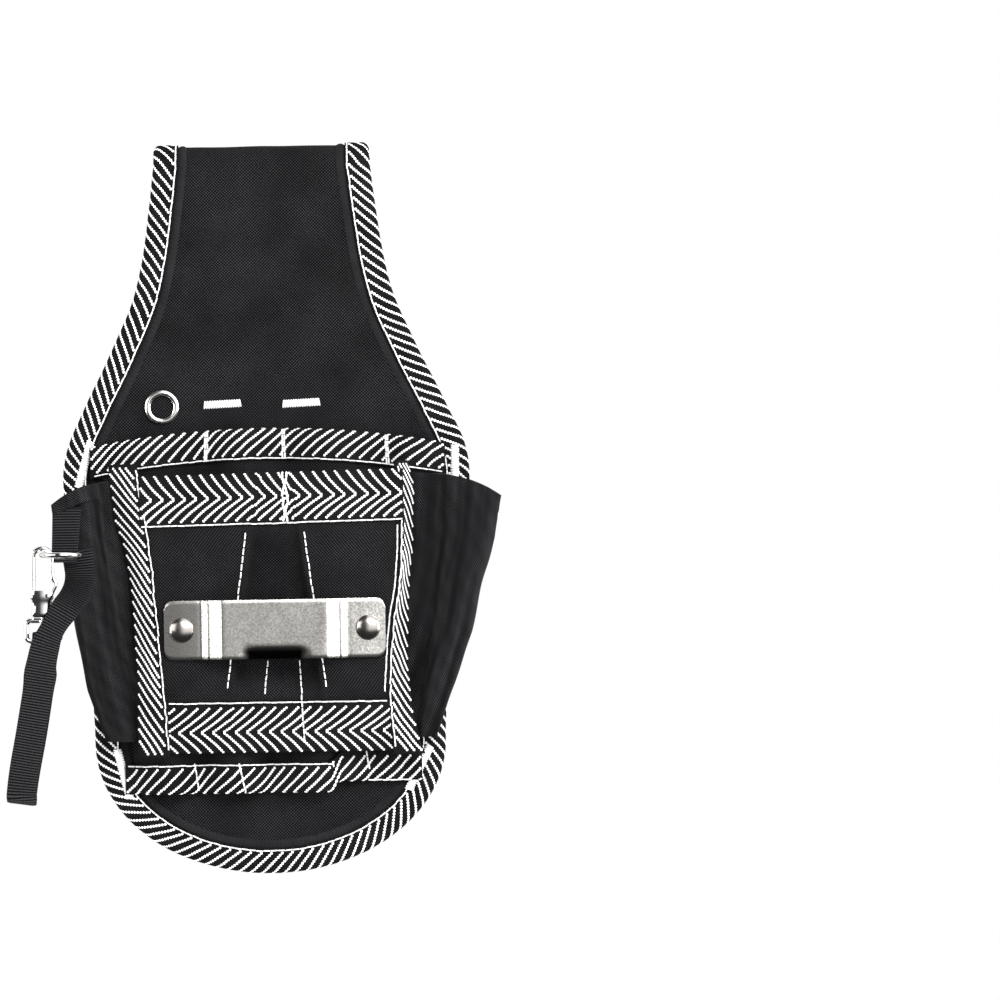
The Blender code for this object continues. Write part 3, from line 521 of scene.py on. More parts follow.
def back_path(step, bottom_angle, inset):
    """(y, z, half width) of the outer face, up the front, over the fold and down the flap."""
    path = []
    turns = int(70 / step)
    for k in range(turns):
        a = math.radians(mix(bottom_angle, 0, k / turns))
        path.append(
            (0.0, z_at(BOTTOM_DROP + (BOTTOM_RZ - inset) * math.sin(a)), (BOTTOM_RX - inset) * math.cos(a))
        )
    rows = int((BOTTOM_DROP - 10) / step)
    for k in range(rows + 1):
        drop = mix(BOTTOM_DROP, 10.0, k / rows)
        path.append((0.0, z_at(drop), half_width(drop) - inset))
    for k in range(13):
        a = math.radians(180 - 15 * k)
        y, z = FOLD_R + FOLD_R * math.cos(a), TOP - FOLD_R + FOLD_R * math.sin(a)
        path.append((y, z, half_width(0) - inset))
    rows = int((FLAP_END - 10) / step)
    for k in range(1, rows + 1):
        drop = mix(10.0, FLAP_END, k / rows)
        path.append((flap_y(drop), z_at(drop), flap_half(drop) - inset))
    return path


def path_normals(path):
    normals = []
    for i in range(len(path)):
        (y0, z0, _), (y1, z1, _) = path[max(i - 1, 0)], path[min(i + 1, len(path) - 1)]
        length = math.hypot(y1 - y0, z1 - z0)
        normals.append(Vector((0, -(z1 - z0) / length, (y1 - y0) / length)))
    return normals


def back_panel():
    """The folded back as one padded sheet, with slight waves, and its lining as a second skin."""
    path = back_path(2.2, 82, 1.2)
    normals = path_normals(path)
    columns = 44
    for name, depth, thick, look, nodes in (
        ("back_cloth", 0.0, 1.9, "oxford", ("back_panel_face", "back_panel_foam")),
        ("back_lining", 2.0, 1.2, "lining", ("back_panel_lining",)),
    ):
        rows = []
        for (y, z, w), n in zip(path, normals):
            row = []
            for j in range(columns + 1):
                x = mix(-w, w, j / columns)
                free = smoothstep((w - abs(x) - 6) / 10)
                wave_out = 0.35 * ripple(x, y, z, 34, 4.2) + 0.18 * ripple(x, y, z, 11, 9.1)
                row.append(Vector((x, y, z)) + n * (wave_out * free - depth))
            rows.append(row)
        rows.reverse()
        batch = Batch()
        thick_sheet(batch, rows, thick)
        obj = batch.make(name, look, replaces=nodes)
        long = sum((b[22] - a[22]).length for a, b in zip(rows, rows[1:])) * MM
        area = sum((a[-1] - a[0]).length * (b[22] - a[22]).length for a, b in zip(rows, rows[1:])) * MM * MM
        sewn_on = ["edge_tape", "edge_stripes", "edge_overlock"] if name == "back_cloth" else []
        SHEETS.append((obj, (0.139, long), "folded", ["eyelet_barrel"], area, sewn_on))


SHEETS = []


def edge_frames():
    """Evenly spaced (edge point, front normal, inward, distance) from one flap end to the other."""
    path = back_path(1.2, 90, 0.0)
    right = [(Vector((w, y, z)), n) for (y, z, w), n in zip(path, path_normals(path))]
    left = [(Vector((-p.x, p.y, p.z)), n) for p, n in right]
    edge = list(reversed(left)) + right[1:]
    frames, s = [], 0.0
    for i, (p, n) in enumerate(edge):
        s += (p - edge[i - 1][0]).length if i else 0.0
        along = (edge[min(i + 1, len(edge) - 1)][0] - edge[max(i - 1, 0)][0]).normalized()
        frames.append((p, n, n.cross(along).normalized(), s))
    return frames


BINDING_R = PANEL / 2 + TAPE_OVER
BINDING_ARC = BINDING_R * math.pi / 2
BINDING_LEG = 8.5 - BINDING_R + BINDING_ARC  # round the edge to the inner end of the tape


def binding_surface(frames):
    """surface(s, t): s along the edge, t round it, 0 on the edge and positive on the front."""
    lengths = [f[3] for f in frames]

    def frame_at(s):
        s = min(max(s, 0.0), lengths[-1] - 1e-6)
        low, high = 0, len(lengths) - 1
        while high - low > 1:
            middle = (low + high) // 2
            low, high = (middle, high) if lengths[middle] <= s else (low, middle)
        t = (s - lengths[low]) / (lengths[high] - lengths[low])
        a, b = frames[low], frames[high]
        return a[0].lerp(b[0], t), a[1].lerp(b[1], t).normalized(), a[2].lerp(b[2], t).normalized()

    def surface(s, t):
        edge, n, inward = frame_at(s)
        middle = edge - n * (PANEL / 2)
        side = 1 if t >= 0 else -1
        pucker = 0.16 * ripple(s, t * 0.4, 0, 3.1, 2.0) + 0.2 * ripple(s, 0, 0, 17, 5.0)
        reach = abs(t)
        if reach < BINDING_ARC:
            turn = reach / BINDING_R
            out = -inward * math.cos(turn) + n * side * math.sin(turn)
            return middle + inward * BINDING_R + out * (BINDING_R + pucker * 0.5), out
        point = middle + inward * (BINDING_R + reach - BINDING_ARC) + n * side * (BINDING_R + pucker)
        return point, n * side

    return surface, lengths[-1]


def edge_binding():
    frames = edge_frames()
    surface, total = binding_surface(frames)
    columns = 26
    rows = []
    count = int(total / 1.4)
    for i in range(count + 1):
        s = total * i / count
        rows.append([surface(s, mix(-BINDING_LEG, BINDING_LEG, j / columns))[0] for j in range(columns + 1)])
    tape = Batch()
    thick_sheet(tape, rows, TAPE)
    tape.make("edge_tape", "tape", replaces=("edge_binding",))

    stripes = Batch()
    reach = BINDING_LEG - 1.25
    herringbone(stripes, surface, 0.8, total - 0.8, ((0.15, reach, 1.02), (-0.15, -reach, 1.02)), bend=-0.35)
    stripes.make("edge_stripes", "stripe")

    sewing = Batch()
    for side in (1, -1):
        track = []
        for k in range(int(total / 1.5)):
            track.append(surface(k * 1.5, side * (BINDING_LEG - 0.75)))
        stitches(sewing, track, seed=side)
    sewing.make("edge_sewing", "thread", replaces=())

    band = Batch()
    rows = []
    start, stop = total * 0.5 - 345, total * 0.5 + 345
    count = int((stop - start) / 0.4)
    for i in range(count + 1):
        s = mix(start, stop, i / count)
        row = []
        for j in range(7):
            t = j / 6
            p, n = surface(s, BINDING_LEG + 0.1 + 2.9 * t)
            ribs = 0.16 * math.cos(2 * math.pi * i * 0.4 / 1.6 + 0.8 * math.sin(9 * t))
            drop_in = TAPE_OVER - 0.1 - math.sin(math.pi * t) * (0.42 + ribs)
            row.append(p - n * drop_in)
        rows.append(row)
    thick_sheet(band, rows, 0.25)
    band.make("edge_overlock", "black_thread")


# ---------------------------------------------------------------- rear pocket
def rear_edges(drop):
    t = (drop - REAR_TOP[0]) / (REAR_BOTTOM[0] - REAR_TOP[0])
    ends = [mix(a, b, t) for a, b in zip(REAR_TOP[1:], REAR_BOTTOM[1:])]
    seams = [mix(a, b, t) for a, b in zip(REAR_SEAMS_TOP, REAR_SEAMS_BOTTOM)]
    return [ends[0], *seams, ends[1]]


def rear_height(x, drop):
    """y of the rear pocket panel's outer face."""
    edges = rear_edges(drop)
    out = 0.0
    for left, right in zip(edges, edges[1:]):
        if left <= x <= right:
            bulge = min(REAR_BULGE, 0.45 * (right - left - 9))
            near = min(x - left, right - x) / (right - left)
            out = bulge * smoothstep(near / 0.45)
    crumple = 0.35 * ripple(x, 0, drop, 14, 3.0) * smoothstep(out / 3)
    return -REAR_SEAT - out - crumple


def rear_top_edge(x):
    return REAR_TOP[0] - 2.4 + 5.0 * (x / 57) ** 2


def rear_bottom_edge(x):
    return REAR_BOTTOM[0] - 3.5 * smoothstep((x - 20.5) / 3.5)


def lifted(height, x, drop, out):
    """(point, normal) over a height field whose outward side is -Y."""
    e = 0.4
    dx = (height(x + e, drop) - height(x - e, drop)) / (2 * e)
    dz = (height(x, drop - e) - height(x, drop + e)) / (2 * e)
    n = Vector((dx, -1, dz)).normalized()
    return Vector((x, height(x, drop), z_at(drop))) + n * out, n


def folded_surface(height, edge, sign=1):
    """surface(x, t) of a tape folded over a pocket's edge: t is 0 on the edge and positive in front."""
    radius = CLOTH / 2 + TAPE_OVER
    arc = radius * math.pi / 2

    def surface(x, t):
        edge_drop = edge(x)
        reach = abs(t)
        if reach < arc:
            p, n = lifted(height, x, edge_drop, -CLOTH / 2)
            turn = reach / radius
            out = sign * Z_AXIS * math.cos(turn) + (n if t > 0 else -n) * math.sin(turn)
            return p + out * radius, out
        drop = edge_drop + sign * (reach - arc)
        if t > 0:
            p, n = lifted(height, x, drop, TAPE_OVER + 0.08 * ripple(x, t, drop, 2.4))
            return p, n
        p, n = lifted(height, x, drop, -CLOTH - TAPE_OVER)
        return p, -n

    return surface, arc


def pocket_tape(
    name, height, edge, x_from, x_to, front_leg, back_leg, node, chevrons, sign=1, seed=0.0, bend=0.0
):
    """A tape over a pocket's edge with its stripes; chevrons holds (t at the point, t at the open end)."""
    surface, arc = folded_surface(height, edge, sign)
    count = int((x_to - x_from) / 1.1)
    marks = [-back_leg - arc + k * (back_leg + arc) / 8 for k in range(8)]
    marks += [k * (front_leg + arc) / 16 for k in range(17)]
    rows = []
    for t in marks:
        rows.append([surface(mix(x_from, x_to, j / count), t)[0] for j in range(count + 1)])
    if sign < 0:
        rows.reverse()
    tape = Batch()
    thick_sheet(tape, rows, TAPE)
    tape.make(name, "tape", replaces=(node,))
    stripes = Batch()
    herringbone(stripes, surface, x_from + 0.4, x_to - 0.4, chevrons, seed=seed, bend=bend)
    stripes.make(name + "_stripes", "stripe")
    return surface, arc


def height_sheet(name, height, left, right, top, bottom, look, columns, rows_count, node, thick=CLOTH):
    rows = []
    for i in range(rows_count + 1):
        row = []
        for j in range(columns + 1):
            u, v = j / columns, i / rows_count
            x = mix(left(mix(FRONT_TOP, FRONT_BOTTOM, v)), right(mix(FRONT_TOP, FRONT_BOTTOM, v)), u)
            drop = mix(top(x), bottom(x), v)
            row.append(Vector((x, height(x, drop), z_at(drop))))
        rows.append(row)
    batch = Batch()
    thick_sheet(batch, rows, thick)
    obj = batch.make(name, look, replaces=(node,))
    middle = columns // 2
    tall = sum((b[middle] - a[middle]).length for a, b in zip(rows, rows[1:])) * MM
    wide = sum((b - a).length for a, b in zip(rows[0], rows[0][1:])) * MM
    return obj, wide, tall


def rear_pocket():
    def left(drop):
        return rear_edges(
            mix(REAR_TOP[0], REAR_BOTTOM[0], (drop - FRONT_TOP) / (FRONT_BOTTOM - FRONT_TOP))
        )[0]

    def right(drop):
        return rear_edges(
            mix(REAR_TOP[0], REAR_BOTTOM[0], (drop - FRONT_TOP) / (FRONT_BOTTOM - FRONT_TOP))
        )[-1]

    obj, wide, tall = height_sheet(
        "rear_pocket_cloth", rear_height, left, right, rear_top_edge, rear_bottom_edge,
        "oxford", 150, 60, "rear_pocket_panel",
    )
    SHEETS.append(
        (obj, (wide, tall), "gathered", ["back_cloth"], None, ["rear_top_tape", "rear_bottom_tape"])
    )
    top, arc = pocket_tape(
        "rear_top_tape", rear_height, rear_top_edge, REAR_TOP[1] - 3.5, REAR_TOP[2] + 4.0, 9.6, 8.0,
        "rear_pocket_top_tape", ((0.3, 10.0, -1.12), (-0.3, -8.6, -1.12)), seed=3.0, bend=-0.6,
    )
    bottom, _ = pocket_tape(
        "rear_bottom_tape", rear_height, rear_bottom_edge, REAR_BOTTOM[1] - 4.0, REAR_BOTTOM[2] + 7.0, 9.0, 8.0,
        "rear_pocket_bottom_tape", ((0.3, 9.4, 1.0), (-0.3, -8.6, 1.0)), sign=-1, seed=6.0, bend=0.4,
    )
    sewing = Batch()
    top_line = [top(mix(-59.0, 60.5, k / 90), 9.6 + arc - 0.7) for k in range(91)]
    stitches(sewing, top_line, seed=1.0)
    bottom_line = [bottom(mix(-49.0, 22.0, k / 60), 9.0 + arc - 0.7) for k in range(61)]
    stitches(sewing, bottom_line, seed=2.0)
    step_line = [bottom(mix(33.5, 48.0, k / 14), 0.9) for k in range(15)]
    stitches(sewing, step_line, seed=2.5)
    for x, slant in zip(REAR_SEAMS_TOP, (-0.02, 0.0, 0.04)):
        for side in (-0.45, 0.45):
            line = [top(x + side + slant * k, 1.0 + k * 0.5) for k in range(22)]
            stitches(sewing, line, length=2.0, gap=0.2, radius=0.3, seed=x + side)
    for x, reach in ((-26.8, 14), (-10.7, 16), (21.0, 6), (32.8, 12)):
        line = [bottom(x + 0.12 * k, 11.0 - k * 0.7) for k in range(reach)]
        stitches(sewing, line, length=2.2, gap=0.25, radius=0.27, seed=x)
    sewing.make("rear_pocket_sewing", "thread")


# ---------------------------------------------------------------- front pocket
LEFT_TAPE_IN = (
    (108, -44.4), (112, -43.6), (132, -40.0), (152, -38.4), (169, -36.9), (181, -35.9), (191, -34.9),
    (210, -34.0),
)
LEFT_TAPE_OUT = (
    (108, -53.6), (116, -53.4), (128, -52.0), (138.5, -48.8), (149, -46.8), (160, -46.2), (181, -45.0),
    (210, -45.0),
)
RIGHT_TAPE_IN = (
    (108, 44.5), (114, 45.6), (131, 46.2), (140, 46.0), (152, 44.9), (162.5, 43.0), (172, 42.0), (187, 41.0),
    (210, 42.6),
)
RIGHT_TAPE_OUT = (
    (108, 48.6), (118, 50.8), (132, 50.2), (140, 49.8), (158, 48.2), (181, 47.8), (193, 49.0), (205, 51.5),
    (210, 53.4),
)


def pleat_left(drop):
    return -7.0 - 0.131 * (drop - 133)


def pleat_right(drop):
    return 12.9 + 0.128 * (drop - 132.5)


def front_seam(drop):
    return 6.6 - 0.012 * (drop - FRONT_TOP)


def front_height(x, drop):
    """y of the front pocket's outer face: two flat panels, and a deep pleat between them."""
    full = 1 - smoothstep((drop - FRONT_CLOSES) / (FRONT_BOTTOM + 4 - FRONT_CLOSES))
    out = FRONT_FACE - FRONT_FOOT
    fold_l, fold_r, seam = pleat_left(drop) + 1.6, pleat_right(drop) - 1.6, front_seam(drop)
    deep = mix(0.5, 5.0, smoothstep((drop - 129) / 12) * (1 - smoothstep((drop - 180) / 9)))
    if x <= fold_l:
        shade = 0.0
        edge = fold_l - x
        roll = 0.5 * math.exp(-(edge / 1.8) ** 2)
    elif x >= fold_r:
        shade = 0.0
        edge = x - fold_r
        roll = 0.5 * math.exp(-(edge / 1.8) ** 2)
    else:
        left_side = x < seam
        reach = (x - fold_l) / (seam - fold_l) if left_side else (fold_r - x) / (fold_r - seam)
        shade = deep * (
            0.72 * smoothstep(reach * (seam - fold_l if left_side else fold_r - seam) / 1.4) + 0.28 * reach
        )
        roll = 0.5 * math.exp(-((x - (fold_l if left_side else fold_r)) / 0.8) ** 2)
        roll += 0.9 * math.exp(-((x - seam) / 1.6) ** 2)
    calm = 1 - math.exp(-((drop - CLIP_DROP) / 14) ** 4)
    waves = (0.45 * ripple(x, 0, drop, 16, 7.0) + 0.15 * ripple(x, 0, drop, 5, 8.0)) * calm
    return -FRONT_FOOT - full * (out - shade + roll * 0.6) - waves * full


def front_top_edge(x):
    return FRONT_TOP - 0.6 - 0.016 * x


def front_bottom_edge(x):
    return FRONT_BOTTOM + 1.2


def front_pocket():
    obj, wide, tall = height_sheet(
        "front_pocket_cloth", front_height,
        lambda drop: between(LEFT_TAPE_IN, drop) - 1.5, lambda drop: between(RIGHT_TAPE_IN, drop) + 1.2,
        front_top_edge, front_bottom_edge, "oxford", 190, 70, "front_pocket_panel",
    )
    SHEETS.append(
        (obj, (wide, tall), "gathered", ["rear_pocket_cloth"], None, ["front_top_tape", "front_bottom_tape"])
    )
    top, arc = pocket_tape(
        "front_top_tape", front_height, front_top_edge, -43.2, 47.2, 16.4, 3.5,
        "front_pocket_top_tape", ((9.1, 0.6, -0.85), (9.1, 17.0, -1.3)), seed=11.0, bend=-0.55,
    )
    bottom, _ = pocket_tape(
        "front_bottom_tape", front_height, front_bottom_edge, -34.9, 42.6, 16.6, 0.6,
        "front_pocket_bottom_tape", ((8.3, 1.0, 1.0), (8.3, 16.8, 1.25)), sign=-1, seed=13.0, bend=0.4,
    )
    sewing = Batch()
    stitches(sewing, [top(mix(-42.6, 46.8, k / 80), 16.4 + arc - 0.4) for k in range(81)], seed=4.0)
    stitches(sewing, [bottom(mix(-34.2, 41.8, k / 80), 16.6 + arc - 0.3) for k in range(81)], seed=5.0)
    for fold, seed in ((pleat_left, 6.0), (pleat_right, 7.0)):
        drops = [133 + 0.9 * k for k in range(61)]
        stitches(
            sewing, [lifted(front_height, fold(d), d, 0.1) for d in drops], length=2.7, gap=0.5, seed=seed
        )
    for side in (-0.7, 0.6):
        line = [top(front_seam(FRONT_TOP) + side * math.cos(k / 5), 0.6 + 0.6 * k) for k in range(31)]
        stitches(sewing, line, length=2.2, gap=0.2, radius=0.36, wander=0.35, seed=side)
    for start, end, far in ((-0.2, -1.7, 191), (10.8, 12.0, 206)):
        line = [lifted(front_height, mix(start, end, (d - 177) / (far - 177)), d, 1.0 if d > 189 else 0.1)
                for d in [177 + 0.9 * k for k in range(int((far - 177) / 0.9))]]
        stitches(sewing, line, length=2.5, gap=0.4, seed=start)
    line = [
        lifted(front_height, between(RIGHT_TAPE_IN, d) - 1.2, d, 0.1) for d in [131 + k for k in range(58)]
    ]
    stitches(sewing, line, seed=9.0)
    sewing.make("front_pocket_sewing", "thread")


def seam_surface(inner, outer, y_in, y_out, crown):
    """surface(drop, t) of a strip that lies from its inner edge, t 0, to its outer edge, t 1."""

    def surface(drop, t):
        full = 1 - 0.75 * smoothstep((drop - 186) / 22)
        x = mix(between(inner, drop), between(outer, drop), t)
        x += 0.35 * ripple(0, 0, drop, 9, t + 1.5)
        y = mix(y_in, y_out, t) - crown * math.sin(math.pi * min(max(t, 0), 1))
        y = -FRONT_FOOT - 1.2 + (y + FRONT_FOOT + 1.2) * full
        y += 0.25 * ripple(t * 3, 0, drop, 6, 2.2)
        return Vector((x, y, z_at(drop))), None

    def with_normal(drop, t):
        p = surface(drop, t)[0]
        across = surface(drop, t + 0.05)[0] - surface(drop, t - 0.05)[0]
        down = surface(drop + 0.5, t)[0] - surface(drop - 0.5, t)[0]
        n = down.cross(across).normalized()
        return p, n if n.y < 0 else -n

    return with_normal


def seam_tapes():
    sewing = Batch()
    for side, inner, outer, y_in, y_out, slope in (
        ("left", LEFT_TAPE_IN, LEFT_TAPE_OUT, -17.4, -13.0, 1.45),
        ("right", RIGHT_TAPE_IN, RIGHT_TAPE_OUT, -17.4, -10.5, 1.6),
    ):
        surface = seam_surface(inner, outer, y_in, y_out, 1.0)
        rows = []
        for i in range(91):
            drop = mix(109, 209.5, i / 90)
            marks = [1 - j / 14 for j in range(15)] if side == "left" else [j / 14 for j in range(15)]
            rows.append([surface(drop, t)[0] for t in marks])
        tape = Batch()
        thick_sheet(tape, rows, 1.3)
        tape.make(side + "_seam_strip", "tape", replaces=(side + "_seam_tape",))
        stripes = Batch()
        sign = -1 if side == "left" else 1
        reach = 0.97

        def scaled(s, t, surface=surface):
            return surface(s, t / 10)

        near, far = (1.6, 10 * reach) if side == "left" else (1.2, 10 * reach)
        wide = 9.5 if side == "left" else 8.0
        for number in range(-8, 36):
            point = 108 + number * PITCH * 1.02 + 0.25 * ripple(number, 0, 0, 1.3, 5.0)
            tall = slope * wide * (1 + 0.12 * ripple(number, 0, 0, 4.1, 3.0))
            a, b = (point, far), (point + tall, near)
            if side == "right":
                a, b = (point, near), (point + tall, far)
            low = max(0.0, (110 - a[0]) / (b[0] - a[0]))
            high = min(1.0, (208.6 - a[0]) / (b[0] - a[0]))
            if high - low > 0.1:
                first = (mix(a[0], b[0], low), mix(a[1], b[1], low))
                last = (mix(a[0], b[0], high), mix(a[1], b[1], high))
                stripe(stripes, scaled, first, last, seed=number * 0.7)
        stripes.make(side + "_seam_strip_stripes", "stripe")
        line = [surface(d, 0.06) for d in [111 + 1.0 * k for k in range(97)]]
        stitches(sewing, line, wander=0.5, seed=8.0 + sign)
    sewing.make("seam_sewing", "thread")


# ---------------------------------------------------------------- side pockets
def rounded(points, each):
    """A smooth curve through the points."""
    curve = []
    for i in range(len(points) - 1):
        p0, p1, p2, p3 = (Vector(points[min(max(k, 0), len(points) - 1)]) for k in (i - 1, i, i + 1, i + 2))
        for k in range(each):
            t = k / each
            bend = (2 * p0 - 5 * p1 + 4 * p2 - p3) * t**2 + (3 * p1 - p0 - 3 * p2 + p3) * t**3
            curve.append(0.5 * (2 * p1 + (p2 - p0) * t + bend))
    return curve + [Vector(points[-1])]


def over_tab(p):
    """The left hem comes forward at its corner, to lie over the webbing tab's sewn end."""
    share = smoothstep((-p.x - 57) / 6) * smoothstep((-p.y - 6) / 4)
    return Vector((p.x, min(p.y, mix(p.y, -22.0, share)), p.z))


def side_pocket(side, sign, keys, folds, hem_rows):
    """An open channel of softer cloth. keys is as in the frame: drop, corner's hang, seam x, corner x,
    depth and the seam's depth. folds holds (place round the pocket, width, depth, lean)."""
    tracks = [[(k[0], k[c]) for k in keys] for c in range(1, 6)]
    rows = []
    count = 66
    for i in range(count + 1):
        drop = mix(keys[0][0], keys[-1][0], i / count)
        hang, seam, corner, depth, start = (between(track, drop) for track in tracks)
        wide, foot = corner - seam, max(-rear_edges(drop)[0], rear_edges(drop)[-1]) + 1.3
        plan = [
            (seam, start), (seam + 0.22 * wide, start), (seam + 0.45 * wide, mix(start, depth, 0.75)),
            (seam + 0.7 * wide, depth), (corner - 0.06 * wide, mix(depth, 2.0, 0.18)),
            (corner, mix(depth, 2.0, 0.42)), (corner - 0.05 * wide, mix(depth, 2.0, 0.75)),
            (mix(corner, foot, 0.35), 2.9), (foot, 2.5),
        ]
        curve = rounded(plan, 9)
        row = []
        for j, p in enumerate(curve):
            u = j / (len(curve) - 1)
            along = curve[min(j + 1, len(curve) - 1)] - curve[max(j - 1, 0)]
            out = Vector((-along.y, along.x)).normalized()
            fade = math.sin(math.pi * min(1, i / count * 1.1)) ** 0.6 if i else 0.0
            push = 0.5 * ripple(
                p.x * sign, p.y, drop, 13, 6.0 + sign
            ) * smoothstep(u / 0.12) * smoothstep((1 - u) / 0.1)
            for centre, width, deep, lean in folds:
                shift = centre + lean * (i / count)
                push += deep * math.exp(-((u - shift) / width) ** 2) * (0.35 + 0.65 * fade)
            q = p + out * push
            lower = drop + hang * min(max((q.x - seam) / wide, 0.0), 1.0) ** 3
            row.append(Vector((sign * q.x, -q.y, z_at(lower))))
        rows.append(row if sign > 0 else row[::-1])
    batch = Batch()
    thick_sheet(batch, rows, 0.7)
    obj = batch.make(f"{side}_pocket_cloth", "side", replaces=(f"{side}_side_pocket",))
    tall = sum((b[20] - a[20]).length for a, b in zip(rows, rows[1:])) * MM
    wide = sum((b - a).length for a, b in zip(rows[0], rows[0][1:])) * MM
    SHEETS.append((obj, (wide, tall), "gathered", ["back_cloth"], None, [f"{side}_pocket_hem"]))
    hem = Batch()
    normals = grid_normals(rows)
    lines = []
    for i in range(hem_rows + 1):
        bead = 0.28 if i < hem_rows else 0.08
        line = [p + n * bead for p, n in zip(rows[i], normals[i])]
        if sign < 0:
            line = [over_tab(p) for p in line]
        lines.append(line)
    thick_sheet(hem, lines, 0.25)
    hem.make(f"{side}_pocket_hem", "side")
    return rows, normals


def side_pockets():
    left = (
        (
            114.5, 8.0, 45.5, 73.0, 17.6, 11.8
        ), (133, 3.0, 44.0, 71.2, 17.0, 11.8), (150, 1.0, 41.5, 68.4, 15.8, 11.5),
        (
            168, 0.0, 40.0, 65.4, 13.6, 11.0
        ), (186, 0.0, 39.5, 62.4, 11.4, 10.4), (204, 0.0, 39.5, 56.5, 9.6, 9.2),
    )
    right = (
        (
            113.5, 8.0, 48.0, 80.4, 15.5, 8.3
        ), (133, 3.0, 47.5, 78.4, 15.0, 8.3), (150, 1.0, 46.5, 73.8, 14.2, 8.0),
        (
            168, 0.0, 45.0, 69.6, 12.8, 7.6
        ), (186, 0.0, 44.8, 63.6, 10.4, 6.8), (204, 0.0, 45.2, 57.0, 7.4, 6.2),
    )
    side_pocket(
        "left", -1, left, ((0.2, 0.045, -2.8, -0.02), (0.32, 0.04, 1.6, 0.02), (0.5, 0.03, -1.0, 0.0)), 4
    )
    side_pocket(
        "right", 1, right, ((0.2, 0.05, -3.0, 0.0), (0.33, 0.04, 1.6, -0.03), (0.45, 0.035, -1.8, 0.02)), 6
    )


# ---------------------------------------------------------------- metal
def turned(batch, profile, centre, axis, steps=40):
    """A solid of revolution; profile holds (radius, distance along the axis)."""
    across = X_AXIS if abs(axis.x) < 0.9 else Y_AXIS
    up = axis.cross(across)
    loops = []
    for r, h in profile:
        ring = []
        for k in range(steps):
            a = 2 * math.pi * k / steps
            ring.append(Vector(centre) + axis * h + r * (math.cos(a) * across + math.sin(a) * up))
        loops.append(ring)
    batch.loops(loops)


def turned_ring(batch, profile, centre, axis, steps=48):
    """A ring of revolution from a closed profile of (radius, distance along the axis)."""
    across = X_AXIS if abs(axis.x) < 0.9 else Y_AXIS
    up = axis.cross(across)
    loops = []
    for k in range(steps):
        a = 2 * math.pi * k / steps
        out = math.cos(a) * across + math.sin(a) * up
        loops.append([Vector(centre) + r * out + axis * h for r, h in profile])
    batch.loops(loops, closed=True)


def eyelet():
    """Set in the face cloth only, so the ring shows in front and dark cloth shows inside it."""
    centre = (EYELET_X, 0, z_at(EYELET_DROP))
    bend = [math.radians(-20 + 20 * k) for k in range(12)]
    rolled = [(4.9 + 1.05 * math.cos(a), -0.75 - 0.75 * math.sin(a)) for a in bend]
    inside = ((3.95, -0.3), (3.95, 0.35), (4.35, 0.35), (4.35, -0.1))
    ring = Batch()
    turned_ring(ring, (*rolled, *inside), centre, Y_AXIS, steps=64)
    ring.make("eyelet_ring", "nickel", replaces=("eyelet_barrel", "eyelet_washer"))


def clip_profile():
    """(x from the middle, rise) of the plate's front face, left to right, with rounded bends."""
    half = CLIP_LONG / 2
    keys = (
        (half, 0.0), (32.0, 0.55), (27.0, 0.88), (25.3, 0.95), (24.7, 1.15), (23.8, 1.85), (23.0, 2.55),
        (22.5, 2.75), (22.2, 2.72), (21.8, 3.0), (20.6, 3.95), (19.2, 5.05), (18.2, 5.8), (17.5, 6.0),
        (14.0, 6.02), (7.0, 6.03), (0.0, 6.03),
    )
    right = rounded([(x, y) for x, y in keys][::-1], 5)
    return [Vector((-p.x, p.y)) for p in reversed(right[1:])] + right


def tape_clip():
    """The sheet-metal bridge: rounded ends, two bends each side and a dished lead-in below."""
    half, tall = CLIP_LONG / 2, CLIP_TALL / 2
    columns = []
    for p in clip_profile():
        inset = max(0.0, abs(p.x) - (half - CLIP_CORNER))
        round_off = CLIP_CORNER - math.sqrt(max(0.0, CLIP_CORNER**2 - inset**2))
        columns.append((p.x, p.y, tall - round_off))
    rows = []
    for i in range(31):
        v = mix(1, -1, i / 30)
        row = []
        for x, rise, reach in columns:
            z = v * reach
            dish = math.exp(-((x - 0.3) / 10.2) ** 8) * smoothstep((-z - 5.2) / 4.6)
            edge = 0.25 * max(0.0, (abs(v) - 0.93) / 0.07) ** 2
            front = CLIP_BACK + CLIP_THICK + rise - edge - 2.1 * dish**1.4
            row.append(Vector((CLIP_X + x, -front, z_at(CLIP_DROP) + z)))
        rows.append(row)
    plate = Batch()
    thick_sheet(plate, rows, CLIP_THICK)
    plate.make("clip_bridge", "plate", replaces=("tape_clip_plate",), sharp=60)
    for side, sign in (("left", -1), ("right", 1)):
        centre = (CLIP_X + sign * RIVET_OFFSET, 0, z_at(CLIP_DROP))
        seat = -CLIP_BACK - CLIP_THICK
        dome = [
            (
                4.35 * math.cos(a), seat - 0.35 - 1.75 * math.sin(a)
            ) for a in [math.radians(6 * k) for k in range(15)]
        ]
        dome[-1] = (0.35, dome[-1][1])
        head = Batch()
        turned(
            head,
            [
                (1.5, -13.3), (1.5, seat + 0.6), (1.5, seat - 0.02), (4.1, seat - 0.02), (4.35, seat - 0.15),
                *dome,
            ],
            centre, Y_AXIS,
        )
        head.make(f"rivet_{side}", "rivet", replaces=(f"clip_rivet_{side}",))
        back = Batch()
        profile = ((1.8, -14.5), (2.5, -14.5), (2.7, -14.3), (2.7, -14.0), (2.4, -13.8), (1.8, -13.8))
        turned_ring(back, profile, centre, Y_AXIS, steps=32)
        back.make(f"rivet_washer_{side}", "rivet", replaces=(f"clip_rivet_washer_{side}",))


